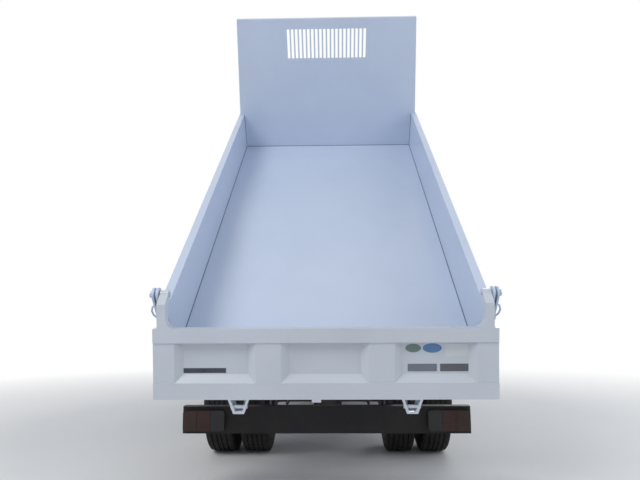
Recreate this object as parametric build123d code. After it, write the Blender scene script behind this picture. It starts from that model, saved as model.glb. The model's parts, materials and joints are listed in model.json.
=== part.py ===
from build123d import *

import os
from math import asin, atan2, cos, degrees, hypot, radians, sin, sqrt

# Two-tonne cab-over dump truck, in millimetres. X runs to the truck's right, Y forward and Z up.
# Every piece is drawn from the rear axle's centre line on the ground, with the bed lowered and the
# tailgate shut. The bed is then tipped, the gate hangs, and the whole is set over its own footprint.

# Pose: how far the bed is tipped
BED_TILT = 38.5

# Wheels and axles
WHEELBASE = 2500
TYRE_RADIUS = 369
TYRE_WIDTH = 195
BEAD_RADIUS = 205
RIM_HALF_WIDTH = 72
RIM_OFFSET = 115
TWIN_OUTER_X = 705
FRONT_WHEEL_X = 695
HUB_RADIUS = 66
DRUM_RADIUS = 150
SPINDLE_RADIUS = 30
KINGPIN_X = 600
KINGPIN_RADIUS = 14
STUD_RADIUS = 8
BEAM_OVER_AXLE = 25
BEAM_HEIGHT = 68
STEERING_ARM = 150
TIE_ROD_DROP = 62
RUNNING_GAP = 0.5

# Frame, with its rails' tops over the wheels' centres and its front end ahead of the front axle
RAIL_OVER_AXLE = 316
FRONT_OVERHANG = 940
RAIL_OUTER_X = 350
RAIL_FLANGE = 60
RAIL_HEIGHT = 170
RAIL_STEEL = 6
SUBFRAME_HEIGHT = 50
REAR_SPRING_REACH = 600
FRONT_SPRING_REACH = 520
LEAF = 10
TOW_EYE_RADIUS = 16

# Bed and its underframe
BED_LENGTH = 3050
BED_WIDTH = 1600
BED_DEPTH = 320
WALL = 47
FLOOR_PLATE = 5
FLOOR_OVER_HINGE = 175
CROSS_BEAM = 60
BEAM_STEEL = 6
BEAM_PITCH = 330
SILL_X = 320
SILL_WIDTH = 50
HINGE_AHEAD = 350
HINGE_OVER_RAIL = 90
HINGE_PIN_RADIUS = 20
HEADBOARD_HEIGHT = 1190
HEADBOARD_TOP_INSET = 53
HEADBOARD_SHOULDER = 11
WINDOW_WIDTH = 720
WINDOW_LOW = 838
WINDOW_HIGH = 1100
WINDOW_SLOTS = 20
SLOT_SHARE = 0.62

# Tailgate
GATE_HEIGHT = 348
GATE_THICK = 55
GATE_GAP = 5
GATE_SIDE_GAP = 2
GATE_PIN_RISE = 392
GATE_TOP_DROP = 162
GATE_PIN_INSET = 20
GATE_PIN_RADIUS = 11
GATE_TOP_RAIL = 70
GATE_LOW_RAIL = 80
GATE_RAIL_PROUD = 5
POCKET_DEPTH = 30
POCKET_SLOPE = 38
EAR_INBOARD = 22
EAR_WIDTH = 42
EAR_CORNER = 45
LOOP_X = 425

# Cab, with its back behind the front axle and its nose ahead of the frame
CAB_BACK = 310
CAB_NOSE = 120
CAB_GAP = 93
CAB_HALF = 842
CAB_UNDER_RAIL = 45
CAB_WALL = 32
DOOR_THICK = 42
DOOR_GAP = 6
FLOOR_THICK = 25
FOOT_FLOOR_RISE = 145
SEAT_FLOOR_RISE = 290
BELT_RISE = 650
ARCH_GAP = 61
ARCH_LINER = 6
CAB_PIN_RADIUS = 12
DOOR_PIN_RADIUS = 6
STEER_X = 370

# Hoist: the bed's hinge, the ram's foot and the ram's eye make a triangle with two equal sides,
# so that the ram leans by exactly half of what the bed tips
HOIST_FOOT_Y = 256
HOIST_FOOT_DROP = 286
HOIST_EYE_RISE = 83
RAM_BARREL_RADIUS = 60
RAM_WALL = 9.5
RAM_STAGES = 3
FOOT_PIN_RADIUS = 19

# Levels and stations that follow from the sizes above
RAIL_TOP = TYRE_RADIUS + RAIL_OVER_AXLE
RAIL_LOW = RAIL_TOP - RAIL_HEIGHT
RAIL_INNER_X = RAIL_OUTER_X - RAIL_FLANGE
RAIL_WEB_X = RAIL_OUTER_X - RAIL_STEEL
RAIL_FRONT_Y = WHEELBASE + FRONT_OVERHANG
SUBFRAME_TOP = RAIL_TOP + SUBFRAME_HEIGHT
BEAM_TOP = TYRE_RADIUS + BEAM_OVER_AXLE
CAB_REAR_Y = WHEELBASE - CAB_BACK
CAB_NOSE_Y = RAIL_FRONT_Y + CAB_NOSE
CAB_BOTTOM = RAIL_TOP - CAB_UNDER_RAIL
FOOT_FLOOR = CAB_BOTTOM + FOOT_FLOOR_RISE
SEAT_FLOOR = CAB_BOTTOM + SEAT_FLOOR_RISE
BELT_Z = CAB_BOTTOM + BELT_RISE
ARCH_RADIUS = TYRE_RADIUS + ARCH_GAP
RISER_Y = WHEELBASE + 380
CAB_PIVOT_Y = RAIL_FRONT_Y + 30
CAB_PIVOT_Z = RAIL_TOP - 35
BED_FRONT_Y = CAB_REAR_Y - CAB_GAP - WALL
BED_REAR_Y = BED_FRONT_Y - BED_LENGTH
BED_INNER_X = BED_WIDTH / 2
BED_OUTER_X = BED_INNER_X + WALL
HINGE_Y = BED_REAR_Y + HINGE_AHEAD
HINGE_Z = RAIL_TOP + HINGE_OVER_RAIL
FLOOR_Z = HINGE_Z + FLOOR_OVER_HINGE
CROSS_TOP = FLOOR_Z - FLOOR_PLATE
CROSS_Z = CROSS_TOP - CROSS_BEAM
SILL_BOTTOM = SUBFRAME_TOP + 5
RAIL_REAR_Y = min(HINGE_Y, -REAR_SPRING_REACH) - 110
GATE_PIN_Y = BED_REAR_Y + GATE_PIN_INSET
GATE_PIN_Z = FLOOR_Z + GATE_PIN_RISE
GATE_TOP = GATE_PIN_Z - GATE_TOP_DROP
GATE_LOW = GATE_TOP - GATE_HEIGHT
GATE_FACE_Y = BED_REAR_Y - GATE_GAP
GATE_BACK_Y = GATE_FACE_Y - GATE_THICK
GATE_HALF = BED_OUTER_X - GATE_SIDE_GAP
HOIST_FOOT = (HOIST_FOOT_Y, HINGE_Z - HOIST_FOOT_DROP)
HOIST_RADIUS = hypot(HOIST_FOOT_Y - HINGE_Y, HOIST_FOOT_DROP)
HOIST_EYE = (HINGE_Y + sqrt(HOIST_RADIUS ** 2 - HOIST_EYE_RISE ** 2), HINGE_Z + HOIST_EYE_RISE)


def block(x, y, z):
    """A rectangular solid between three pairs of low and high."""
    middle = Pos((x[0] + x[1]) / 2, (y[0] + y[1]) / 2, (z[0] + z[1]) / 2)
    return middle * Box(x[1] - x[0], y[1] - y[0], z[1] - z[0])


def side_prism(outline, x):
    """An outline drawn in (Y, Z), or a face of it, carried from x[0] to x[1]."""
    face = outline if isinstance(outline, Sketch) else make_face(Polyline(*outline, close=True))
    return Pos(x[0], 0, 0) * extrude(Plane.YZ * face, amount=x[1] - x[0], dir=(1, 0, 0))


def end_prism(outline, y):
    """An outline drawn in (X, Z), or a face of it, carried from y[0] to y[1]."""
    face = outline if isinstance(outline, Sketch) else make_face(Polyline(*outline, close=True))
    return Pos(0, y[0], 0) * extrude(Plane.XZ * face, amount=y[1] - y[0], dir=(0, 1, 0))


def outline_face(outline, corner, grow=0):
    """A face with straight sides, grown by a margin and with all its corners rounded."""
    face = make_face(Polyline(*outline, close=True))
    if grow:
        face = offset(face, amount=grow, kind=Kind.INTERSECTION)
    return fillet(face.vertices(), corner)


def bar(start, end, radius):
    """A round bar from one point to another."""
    run = Vector(*end) - Vector(*start)
    return Plane(origin=start, z_dir=run) * Cylinder(
        radius, run.length, align=(Align.CENTER, Align.CENTER, Align.MIN)
    )


def bent_bar(points, radius):
    """A round bar through several points, with a ball at each bend."""
    run = bar(points[0], points[1], radius)
    for start, end in zip(points[1:], points[2:]):
        run += bar(start, end, radius) + Pos(*start) * Sphere(radius)
    return run


def pin(x, y, z, radius):
    """A round pin across the truck, from x[0] to x[1]."""
    return bar((x[0], y, z), (x[1], y, z), radius)


def post(x, y, z, radius):
    """A round upright pin from z[0] to z[1]."""
    return bar((x, y, z[0]), (x, y, z[1]), radius)


def other(shape):
    """The shape's mirror image on the truck's other side."""
    return mirror(shape, about=Plane.YZ)


def both(shape):
    return shape + other(shape)


def spun(outline, x, y):
    """A wheel's or axle's section, drawn as (X, radius), turned about its own axle."""
    face = outline if isinstance(outline, Sketch) else make_face(Polyline(*outline, close=True))
    return Pos(x, y, TYRE_RADIUS) * revolve(face, axis=Axis.X)


# Frame

def frame_rails():
    """Two channel rails with their open sides inward, the cab's pivot plates and the front tow eyes."""
    rail = block((RAIL_INNER_X, RAIL_OUTER_X), (RAIL_REAR_Y, RAIL_FRONT_Y), (RAIL_LOW, RAIL_TOP))
    rail -= block(
        (RAIL_INNER_X - 1, RAIL_WEB_X),
        (RAIL_REAR_Y - 1, RAIL_FRONT_Y + 1),
        (RAIL_LOW + RAIL_STEEL, RAIL_TOP - RAIL_STEEL),
    )
    eye = 22
    plate_x = (RAIL_OUTER_X - 40, RAIL_OUTER_X - 14)
    plate = side_prism(
        [
            (RAIL_FRONT_Y - 90, RAIL_LOW + RAIL_STEEL),
            (RAIL_FRONT_Y, RAIL_LOW + 50),
            (CAB_PIVOT_Y + eye * 0.6, CAB_PIVOT_Z - eye * 0.8),
            (CAB_PIVOT_Y, CAB_PIVOT_Z + eye),
            (RAIL_FRONT_Y, RAIL_TOP - RAIL_STEEL),
            (RAIL_FRONT_Y - 90, RAIL_TOP - RAIL_STEEL),
        ],
        plate_x,
    )
    plate += pin(plate_x, CAB_PIVOT_Y, CAB_PIVOT_Z, eye)
    plate += pin((plate_x[0], RAIL_OUTER_X + 40), CAB_PIVOT_Y, CAB_PIVOT_Z, CAB_PIN_RADIUS)
    hook = outline_face(
        [
            (RAIL_FRONT_Y - 96, RAIL_LOW),
            (RAIL_FRONT_Y - 96, RAIL_LOW - 240),
            (RAIL_FRONT_Y - 12, RAIL_LOW - 240),
            (RAIL_FRONT_Y - 12, RAIL_LOW),
        ],
        8,
    )
    hook = side_prism(hook, (RAIL_WEB_X - 20, RAIL_WEB_X))
    hook += block(
        (RAIL_WEB_X - 20, RAIL_WEB_X), (RAIL_FRONT_Y - 96, RAIL_FRONT_Y - 12), (RAIL_LOW - 10, RAIL_LOW + 1)
    )
    hook -= pin((RAIL_INNER_X, RAIL_OUTER_X), *front_tow_eye(), TOW_EYE_RADIUS)
    return both(rail + plate + hook)


def front_tow_eye():
    """Where the front tow eyes are, as (Y, Z)."""
    return (RAIL_FRONT_Y - 54, RAIL_LOW - 205)


def cross_members():
    """The frame's box members between the rails' webs, the hoist's own above, and the ram's foot pin."""
    box_height = (RAIL_LOW + 45, RAIL_LOW + 125)
    box_half = 25
    web = (-RAIL_WEB_X, RAIL_WEB_X)
    last = RAIL_REAR_Y + box_half
    members = block(web, (last - box_half, last + box_half), box_height)
    tow_y, tow_z = rear_tow_eye()
    jaw = outline_face(
        [(-48, RAIL_REAR_Y + 4), (48, RAIL_REAR_Y + 4), (40, tow_y - 34), (-40, tow_y - 34)], 3
    )
    members += Pos(0, 0, tow_z - 12) * extrude(jaw, amount=24)
    members -= post(0, tow_y, (tow_z - 20, tow_z + 20), TOW_EYE_RADIUS)
    for middle in (-330, HOIST_FOOT_Y + 444, WHEELBASE - 1050, RAIL_FRONT_Y - 190):
        members += block(web, (middle - box_half, middle + box_half), box_height)
    for middle in (HINGE_Y + 150, HOIST_FOOT_Y - 196, WHEELBASE - 1600, CAB_REAR_Y - 290):
        members += block(
            (-RAIL_INNER_X, RAIL_INNER_X), (middle - 20, middle + 20), (RAIL_TOP + 5, SUBFRAME_TOP - 5)
        )
    foot_half = RAIL_INNER_X - 14
    return members + pin((-foot_half, foot_half), *HOIST_FOOT, FOOT_PIN_RADIUS)


def rear_tow_eye():
    """The rear tow eye's upright axis, as (Y, Z)."""
    return (RAIL_REAR_Y - 40, RAIL_LOW + 85)


def subframe():
    """The hoist's runners on the rails, with the bed's hinge plates and pins and the ram's foot plates."""
    runner = block((RAIL_INNER_X, RAIL_OUTER_X), (HINGE_Y + 30, CAB_REAR_Y - 130), (RAIL_TOP, SUBFRAME_TOP))
    eye = HINGE_PIN_RADIUS + 18
    reach = 60
    foot_line = RAIL_TOP - 110
    plate_face = make_face(
        [
            Polyline(
                (HINGE_Y + eye, HINGE_Z),
                (HINGE_Y + 110, RAIL_TOP),
                (HINGE_Y + 110, foot_line),
                (HINGE_Y - reach, foot_line),
                (HINGE_Y - reach, RAIL_TOP),
                (HINGE_Y - eye, HINGE_Z),
            ),
            ThreePointArc((HINGE_Y - eye, HINGE_Z), (HINGE_Y, HINGE_Z + eye), (HINGE_Y + eye, HINGE_Z)),
        ]
    )
    outer_plate = side_prism(plate_face, (RAIL_OUTER_X, RAIL_OUTER_X + 14))
    inner_plate = side_prism(plate_face, (RAIL_INNER_X - 14, RAIL_INNER_X))
    hinge_pin = pin((RAIL_INNER_X - 20, RAIL_OUTER_X + 20), HINGE_Y, HINGE_Z, HINGE_PIN_RADIUS)
    foot_y, foot_z = HOIST_FOOT
    cheek = side_prism(
        [
            (foot_y - 28, foot_z - 38),
            (foot_y + 28, foot_z - 38),
            (foot_y + 45, foot_z - 10),
            (foot_y + 80, RAIL_TOP - 60),
            (foot_y + 80, SUBFRAME_TOP),
            (foot_y - 80, SUBFRAME_TOP),
            (foot_y - 80, RAIL_TOP - 60),
            (foot_y - 45, foot_z - 10),
        ],
        (RAIL_INNER_X - 14, RAIL_INNER_X),
    )
    return both(runner + outer_plate + inner_plate + hinge_pin + cheek)


# Axles, springs and steering

def front_axle():
    """A dropped I-beam with an upright boss at each end for the kingpin."""
    half = 32
    waist = 9
    flange = 14
    low = BEAM_TOP - BEAM_HEIGHT
    beam = block((-KINGPIN_X, KINGPIN_X), (WHEELBASE - half, WHEELBASE + half), (low, BEAM_TOP))
    for near, far in ((-half - 1, -waist), (waist, half + 1)):
        beam -= block(
            (50 - KINGPIN_X, KINGPIN_X - 50),
            (WHEELBASE + near, WHEELBASE + far),
            (low + flange, BEAM_TOP - flange),
        )
    boss = post(KINGPIN_X, WHEELBASE, (TYRE_RADIUS - 45, TYRE_RADIUS + 45), half + 2)
    kingpin = post(KINGPIN_X, WHEELBASE, (TYRE_RADIUS - 78, TYRE_RADIUS + 78), KINGPIN_RADIUS)
    return beam + both(boss + kingpin)


def rear_hub_inner_x():
    """Where the rear hubs' brake drums begin."""
    return TWIN_OUTER_X - 2 * RIM_OFFSET - TYRE_WIDTH / 2 + 1


def rear_axle():
    """A banjo housing: tubes, the round differential case and its nose, and spindles at the ends."""
    drum = rear_hub_inner_x()
    case = spun([(-95, 0), (-95, 80), (-55, 135), (55, 135), (95, 80), (95, 0)], 0, 0)
    tube = pin((6 - drum, drum - 6), 0, TYRE_RADIUS, 50)
    nose = bar((0, 60, TYRE_RADIUS), (0, 225, TYRE_RADIUS + 8), 62)
    plate = pin((drum - 18, drum - 6), 0, TYRE_RADIUS, DRUM_RADIUS - 8)
    spindle = pin((drum - 6, TWIN_OUTER_X - 132.5), 0, TYRE_RADIUS, SPINDLE_RADIUS)
    return tube + case + nose + both(plate + spindle)


def leaf_pack(middle, reach, seat, rise, leaves):
    """A pack of curved leaves, each shorter than the one above, in hangers under the rail."""
    x = (RAIL_INNER_X, RAIL_OUTER_X)
    top = seat + leaves * LEAF
    radius = (reach ** 2 + rise ** 2) / (2 * rise)
    centre = (middle, top + radius)
    pack = None
    for row in range(leaves):
        half = degrees(reach / radius) * (1 - 0.16 * row)
        inner = radius + LEAF * row
        outer = inner + LEAF
        ends = [270 - half, 270 + half]
        leaf_face = make_face(
            [
                CenterArc(centre, outer, ends[0], 2 * half),
                CenterArc(centre, inner, ends[0], 2 * half),
                *(Line(PolarLine(centre, inner, end) @ 1, PolarLine(centre, outer, end) @ 1) for end in ends),
            ]
        )
        leaf = side_prism(leaf_face, x)
        pack = leaf if pack is None else pack + leaf
    eye = top + rise - LEAF / 2
    for end in (middle - reach, middle + reach):
        pack += pin(x, end, eye, 18)
        pack += block(x, (end - 16, end + 16), (eye, RAIL_LOW))
    return pack


def leaf_springs():
    """Each spring with the two bolted straps and the top plate that clamp it to its axle."""
    rear_seat = TYRE_RADIUS + 50
    front_leaves = 3
    rear_leaves = 4
    springs = leaf_pack(WHEELBASE, FRONT_SPRING_REACH, BEAM_TOP, 60, front_leaves)
    springs += leaf_pack(0, REAR_SPRING_REACH, rear_seat, 34, rear_leaves)
    for middle, top in ((WHEELBASE, BEAM_TOP + front_leaves * LEAF), (0, rear_seat + rear_leaves * LEAF)):
        plate_z = (top - 1, top + 12)
        springs += block((RAIL_INNER_X - 4, RAIL_OUTER_X + 4), (middle - 60, middle + 60), plate_z)
    return both(springs)


def knuckle():
    """The right steering knuckle: a fork over the axle's boss, its backing plate, spindle and arm."""
    x = (KINGPIN_X - 26, KINGPIN_X + 52)
    y = (WHEELBASE - 28, WHEELBASE + 28)
    inner, outer = 49, 72
    fork = block(x, y, (TYRE_RADIUS + inner, TYRE_RADIUS + outer))
    fork += block(x, y, (TYRE_RADIUS - outer, TYRE_RADIUS - inner))
    fork += block(
        (KINGPIN_X + 40, x[1]), (WHEELBASE - 40, WHEELBASE + 40), (TYRE_RADIUS - outer, TYRE_RADIUS + outer)
    )
    fork += pin((x[1] - 2, x[1] + 5), WHEELBASE, TYRE_RADIUS, DRUM_RADIUS - 8)
    fork += pin((x[1] - 2, FRONT_WHEEL_X + 88), WHEELBASE, TYRE_RADIUS, SPINDLE_RADIUS)
    arm_end = WHEELBASE - STEERING_ARM
    arm_z = (TYRE_RADIUS - outer, TYRE_RADIUS - TIE_ROD_DROP + 10)
    fork += block((KINGPIN_X - 13, KINGPIN_X + 13), (arm_end, WHEELBASE - 20), arm_z)
    fork += post(KINGPIN_X, arm_end, arm_z, 17)
    fork -= post(KINGPIN_X, arm_end, (arm_z[0] - 5, arm_z[1] + 5), STUD_RADIUS + RUNNING_GAP)
    fork -= post(
        KINGPIN_X, WHEELBASE, (TYRE_RADIUS - 90, TYRE_RADIUS + 90), KINGPIN_RADIUS + RUNNING_GAP
    )
    return fork


def tie_rod():
    """The rod between the two steering arms, under them, with a ball stud up through each."""
    y = WHEELBASE - STEERING_ARM
    under = TYRE_RADIUS - 72 - 6
    rod = pin((40 - KINGPIN_X, KINGPIN_X - 40), y, under - 14, 13)
    end = pin((KINGPIN_X - 44, KINGPIN_X - 10), y, under - 14, 9)
    end += post(KINGPIN_X, y, (under - 28, under), 17)
    end += post(KINGPIN_X, y, (under, TYRE_RADIUS - TIE_ROD_DROP + 16), STUD_RADIUS)
    return rod + both(end)


# What hangs on the frame

def engine_block():
    return block((-260, 260), (WHEELBASE - 300, WHEELBASE + 350), (RAIL_TOP - 265, SEAT_FLOOR - 65))


def driveline():
    """Gearbox behind the engine, and the propeller shaft down to the rear axle's nose."""
    engine_back = WHEELBASE - 300
    box_back = engine_back - 580
    gearbox = block((-150, 150), (engine_back - 45, engine_back), (RAIL_TOP - 255, SUBFRAME_TOP - 15))
    gearbox += block((-120, 120), (box_back, engine_back - 45), (RAIL_TOP - 265, RAIL_TOP - 45))
    nose_end = (0, 225, TYRE_RADIUS + 8)
    shaft = bar((0, box_back, RAIL_LOW - 15), nose_end, 35)
    shaft += bar(nose_end, (0, 300, TYRE_RADIUS + 15), 45)
    nose_face = Plane(origin=nose_end, z_dir=(0, 165, 8))
    return gearbox + split(shaft, bisect_by=nose_face, keep=Keep.TOP)


def fuel_tank():
    """A pressed steel tank on two brackets under the right rail, with straps and a filler."""
    x = (RAIL_OUTER_X + 42, RAIL_OUTER_X + 350)
    y = (WHEELBASE - 1350, WHEELBASE - 650)
    z = (RAIL_TOP - 355, RAIL_TOP - 65)
    corner = 45
    tank = fillet(block(x, y, z).edges().filter_by(Axis.Y), corner)
    for middle in (y[0] + 150, y[1] - 150):
        band = block((x[0] - 3, x[1] + 3), (middle - 20, middle + 20), (z[0] - 3, z[1] + 3))
        tank += fillet(band.edges().filter_by(Axis.Y), corner + 3)
        tank += block((RAIL_OUTER_X, x[0] + 20), (middle - 30, middle + 30), (RAIL_LOW + 15, z[1] - 20))
    neck = (x[1] - 60, y[1] - 100, z[1] - 20)
    tank += bar(neck, (x[1] - 10, y[1] - 100, z[1] + 45), 34)
    return tank


def battery_box():
    """The covered battery box on a shelf at the left rail."""
    x = (-RAIL_OUTER_X - 290, -RAIL_OUTER_X - 30)
    y = (WHEELBASE - 1000, WHEELBASE - 620)
    z = (RAIL_LOW - 115, RAIL_TOP - 45)
    box = fillet(block(x, y, z).edges().filter_by(Axis.Z), 20)
    box += fillet(block((x[0] - 6, x[1] + 6), (y[0] - 6, y[1] + 6), (z[1] - 50, z[1])).edges(), 5)
    return box + block((x[1] - 20, -RAIL_OUTER_X), (y[0] + 60, y[1] - 60), (RAIL_LOW + 5, RAIL_LOW + 45))


def exhaust():
    """The silencer along the left rail, with its front pipe and a turned-out tail pipe."""
    x = -RAIL_OUTER_X - 130
    level = RAIL_LOW - 75
    can = (WHEELBASE - 1800, WHEELBASE - 1170)
    pipe = 24
    silencer = bar((x, can[0], level), (x, can[1], level), 88)
    for end in (can[0] + 30, can[1] - 50):
        silencer += bar((x, end, level), (x, end + 20, level), 91)
    front = [
        (x, can[1] - 10, level),
        (85 - RAIL_OUTER_X, can[1] + 110, level - 40),
        (115 - RAIL_OUTER_X, WHEELBASE - 300, level + 10),
    ]
    front_pipe = bent_bar(front, pipe)
    engine_back = block((-RAIL_OUTER_X, 0), (WHEELBASE - 300, WHEELBASE), (0, RAIL_TOP))
    tail = [(x, can[0] + 5, level), (x, can[0] - 110, level), (x - 160, can[0] - 200, level - 10)]
    hanger_z = (RAIL_LOW + 30, RAIL_LOW + 50)
    for y in ((can[0] + 120, can[0] + 150), (can[1] - 130, can[1] - 100)):
        silencer += block((x - 20, x + 20), y, (level + 60, hanger_z[1]))
        silencer += block((x - 20, -RAIL_OUTER_X), y, hanger_z)
    return silencer + (front_pipe - engine_back) + bent_bar(tail, pipe)


def mudguards():
    """A bent guard over each pair of twin wheels, on two round stays from the rail."""
    gap = 60
    margin = 10
    inner = TYRE_RADIUS + gap
    x = (
        TWIN_OUTER_X - 2 * RIM_OFFSET - TYRE_WIDTH / 2 - margin,
        TWIN_OUTER_X + TYRE_WIDTH / 2 + margin,
    )
    guard = pin(x, 0, TYRE_RADIUS, inner + 4) - pin((x[0] - 1, x[1] + 1), 0, TYRE_RADIUS, inner)
    guard &= block((x[0], x[1]), (-inner - 5, inner + 5), (TYRE_RADIUS + 180, TYRE_RADIUS + inner + 5))
    stay = 330
    stay_z = TYRE_RADIUS + sqrt(inner ** 2 - stay ** 2) + 8
    for y in (-stay, stay):
        guard += pin((RAIL_OUTER_X, x[1] - 10), y, stay_z, 14)
    return both(guard)


# Bumpers and lamps

BUMPER_Z = (RAIL_TOP - 345, RAIL_TOP - 57)
BUMPER_STEEL = 14
BUMPER_HALF = CAB_HALF - 7
BUMPER_NOSE_Y = RAIL_FRONT_Y + 150
LAMP_X = (520, 770)
LAMP_Z = (RAIL_TOP - 255, RAIL_TOP - 125)


def bumper_plan(inset):
    """The front bumper seen from above: a bowed bar with turned-back ends."""
    half = BUMPER_HALF - inset
    nose = BUMPER_NOSE_Y - inset
    side = nose - 75
    face = make_face(
        [
            Line((-half, RAIL_FRONT_Y), (half, RAIL_FRONT_Y)),
            Line((half, RAIL_FRONT_Y), (half, side)),
            ThreePointArc((half, side), (0, nose), (-half, side)),
            Line((-half, side), (-half, RAIL_FRONT_Y)),
        ]
    )
    corners = face.vertices().filter_by_position(Axis.Y, side - 1, nose)
    return fillet(corners, 60 - inset)


def front_bumper():
    """A pressed bowed bar, open behind and above, with lamp windows and an air slot, on two arms."""
    low, high = BUMPER_Z
    shell = Pos(0, 0, low) * extrude(bumper_plan(0), amount=high - low)
    shell -= Pos(0, 0, low + BUMPER_STEEL) * extrude(bumper_plan(BUMPER_STEEL), amount=high - low)
    behind = (RAIL_FRONT_Y - 1, RAIL_FRONT_Y + BUMPER_STEEL)
    shell -= block((-BUMPER_HALF, BUMPER_HALF), behind, (low - 1, high + 1))
    front = (RAIL_FRONT_Y + 40, BUMPER_NOSE_Y + 10)
    shell -= both(block(LAMP_X, front, LAMP_Z))
    slot = outline_face([(-340, low + 50), (340, low + 50), (320, low + 140), (-320, low + 140)], 14)
    shell -= end_prism(slot, front)
    for half, z in ((342, low + 172), (342, low + 204)):
        shell -= block((-half, half), (BUMPER_NOSE_Y - 30, BUMPER_NOSE_Y + 10), (z, z + 12)) - Pos(
            0, 0, low
        ) * extrude(bumper_plan(6), amount=high - low)
    arm_z = (RAIL_LOW + 5, RAIL_LOW + 45)
    arm = block((RAIL_INNER_X + 20, RAIL_OUTER_X), (RAIL_FRONT_Y, BUMPER_NOSE_Y - 24), arm_z)
    return shell + both(arm)


def headlamps():
    """Lamp units that fill the bumper's windows, with a turn lamp beside each main lens."""
    height = LAMP_Z[1] - LAMP_Z[0]
    lens = Pos(0, 0, LAMP_Z[0]) * extrude(bumper_plan(3), amount=height)
    lamp = lens & block(LAMP_X, (RAIL_FRONT_Y + 45, BUMPER_NOSE_Y + 10), LAMP_Z)
    turn_x = LAMP_X[1] - 66
    groove = Pos(0, 0, LAMP_Z[0]) * extrude(bumper_plan(9), amount=height)
    lamp -= block((turn_x, turn_x + 5), (RAIL_FRONT_Y, BUMPER_NOSE_Y + 10), LAMP_Z) - groove
    return both(lamp)


REAR_BUMPER_HALF = BED_OUTER_X - 81
REAR_BUMPER_Y = (RAIL_REAR_Y - 230, RAIL_REAR_Y - 170)
REAR_BUMPER_Z = (TYRE_RADIUS - 81, TYRE_RADIUS + 59)


def rear_bumper():
    """A plain pressed bar across the back on two drop brackets from the rails' ends."""
    low, high = REAR_BUMPER_Z
    back, front = REAR_BUMPER_Y
    beam = block((-REAR_BUMPER_HALF, REAR_BUMPER_HALF), REAR_BUMPER_Y, REAR_BUMPER_Z)
    beam = fillet(beam.edges().filter_by(Axis.Z), 12)
    beam -= block((12 - REAR_BUMPER_HALF, REAR_BUMPER_HALF - 12), (back + 6, front + 1), (low + 6, high - 6))
    bracket = side_prism(
        [
            (RAIL_REAR_Y, RAIL_LOW + 110),
            (RAIL_REAR_Y + 48, RAIL_LOW + 110),
            (RAIL_REAR_Y + 48, RAIL_LOW),
            (front + 90, low + 12),
            (back + 6, low + 12),
            (back + 6, high - 10),
            (front, high - 10),
        ],
        (RAIL_OUTER_X, RAIL_OUTER_X + 12),
    )
    return beam + both(bracket)


def tail_lamps():
    """A flat lamp unit at each end of the rear bumper, in three fields."""
    x = (REAR_BUMPER_HALF - 230, REAR_BUMPER_HALF - 10)
    y = (REAR_BUMPER_Y[0] - 34, REAR_BUMPER_Y[0])
    z = (REAR_BUMPER_Z[0] + 17, REAR_BUMPER_Z[1] - 18)
    lamp = fillet(block(x, y, z).edges().filter_by(Axis.Y), 14)
    field = (x[1] - x[0]) / 3
    for row in (1, 2):
        seam = x[0] + field * row
        lamp -= block((seam - 2, seam + 2), (y[0] - 1, y[0] + 5), (z[0] - 1, z[1] + 1))
    return both(lamp)


# Wheels

def tyre_ring(x, y):
    """One tyre's section, from the bead seats round the walls to the tread."""
    half = TYRE_WIDTH / 2
    bead = RIM_HALF_WIDTH - 6
    foot = BEAD_RADIUS + 14
    widest = BEAD_RADIUS + 80
    shoulder = TYRE_RADIUS - 13
    edge = half - 10
    section = make_face(
        [
            Polyline((-bead, foot), (-bead, BEAD_RADIUS), (bead, BEAD_RADIUS), (bead, foot)),
            ThreePointArc((bead, foot), (half, widest), (edge, shoulder)),
            Polyline((edge, shoulder), (edge - 12, TYRE_RADIUS), (12 - edge, TYRE_RADIUS), (-edge, shoulder)),
            ThreePointArc((-edge, shoulder), (-half, widest), (-bead, foot)),
        ]
    )
    return spun(section, x, y)


def rim(x, y, side):
    """A drop-centre rim with its dished disc, which bolts up one offset to the given side."""
    half = RIM_HALF_WIDTH
    lip = half - 6
    seat = BEAD_RADIUS
    steel = 8
    well = seat - 19
    barrel = [
        (-half, seat + 14), (-lip, seat + 14), (-lip, seat), (-40, seat), (-28, well),
        (28, well), (40, seat), (lip, seat), (lip, seat + 14), (half, seat + 14),
        (half, seat - steel), (38, seat - steel), (24, well - steel), (-24, well - steel),
        (-38, seat - steel), (-half, seat - steel),
    ]
    ledge = well - steel + 1
    disc = [
        (-10, ledge), (30, ledge), (75, seat - 37), (RIM_OFFSET, 132), (RIM_OFFSET, HUB_RADIUS),
        (RIM_OFFSET - 10, HUB_RADIUS), (RIM_OFFSET - 10, 126), (70, seat - 46), (28, seat - 35),
        (-10, seat - 35),
    ]
    disc = [(side * place, radius) for place, radius in disc]
    wheel = spun(barrel, x, y) + spun(disc, x, y)
    hole_circle = 152
    reach = sorted((x + side * 60, x + side * (RIM_OFFSET + 10)))
    for turn in range(6):
        angle = radians(60 * turn + 30)
        wheel -= pin(reach, y + hole_circle * cos(angle), TYRE_RADIUS + hole_circle * sin(angle), 17)
    return wheel


def hub(inner, outer, bore_end, y):
    """Brake drum and hub in one turned piece, hollow for the spindle."""
    bore = SPINDLE_RADIUS + RUNNING_GAP
    section = [
        (inner, bore), (inner, DRUM_RADIUS), (inner + 100, DRUM_RADIUS), (inner + 112, HUB_RADIUS),
        (outer - 12, HUB_RADIUS), (outer, HUB_RADIUS - 12), (outer, 0), (bore_end, 0), (bore_end, bore),
    ]
    return spun(section, 0, y)


def front_wheel():
    """Tyre and rim of the right front wheel."""
    turned = hub(FRONT_WHEEL_X - 33, FRONT_WHEEL_X + 138, FRONT_WHEEL_X + 92, WHEELBASE)
    return tyre_ring(FRONT_WHEEL_X, WHEELBASE), rim(FRONT_WHEEL_X, WHEELBASE, 1) + turned


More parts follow.
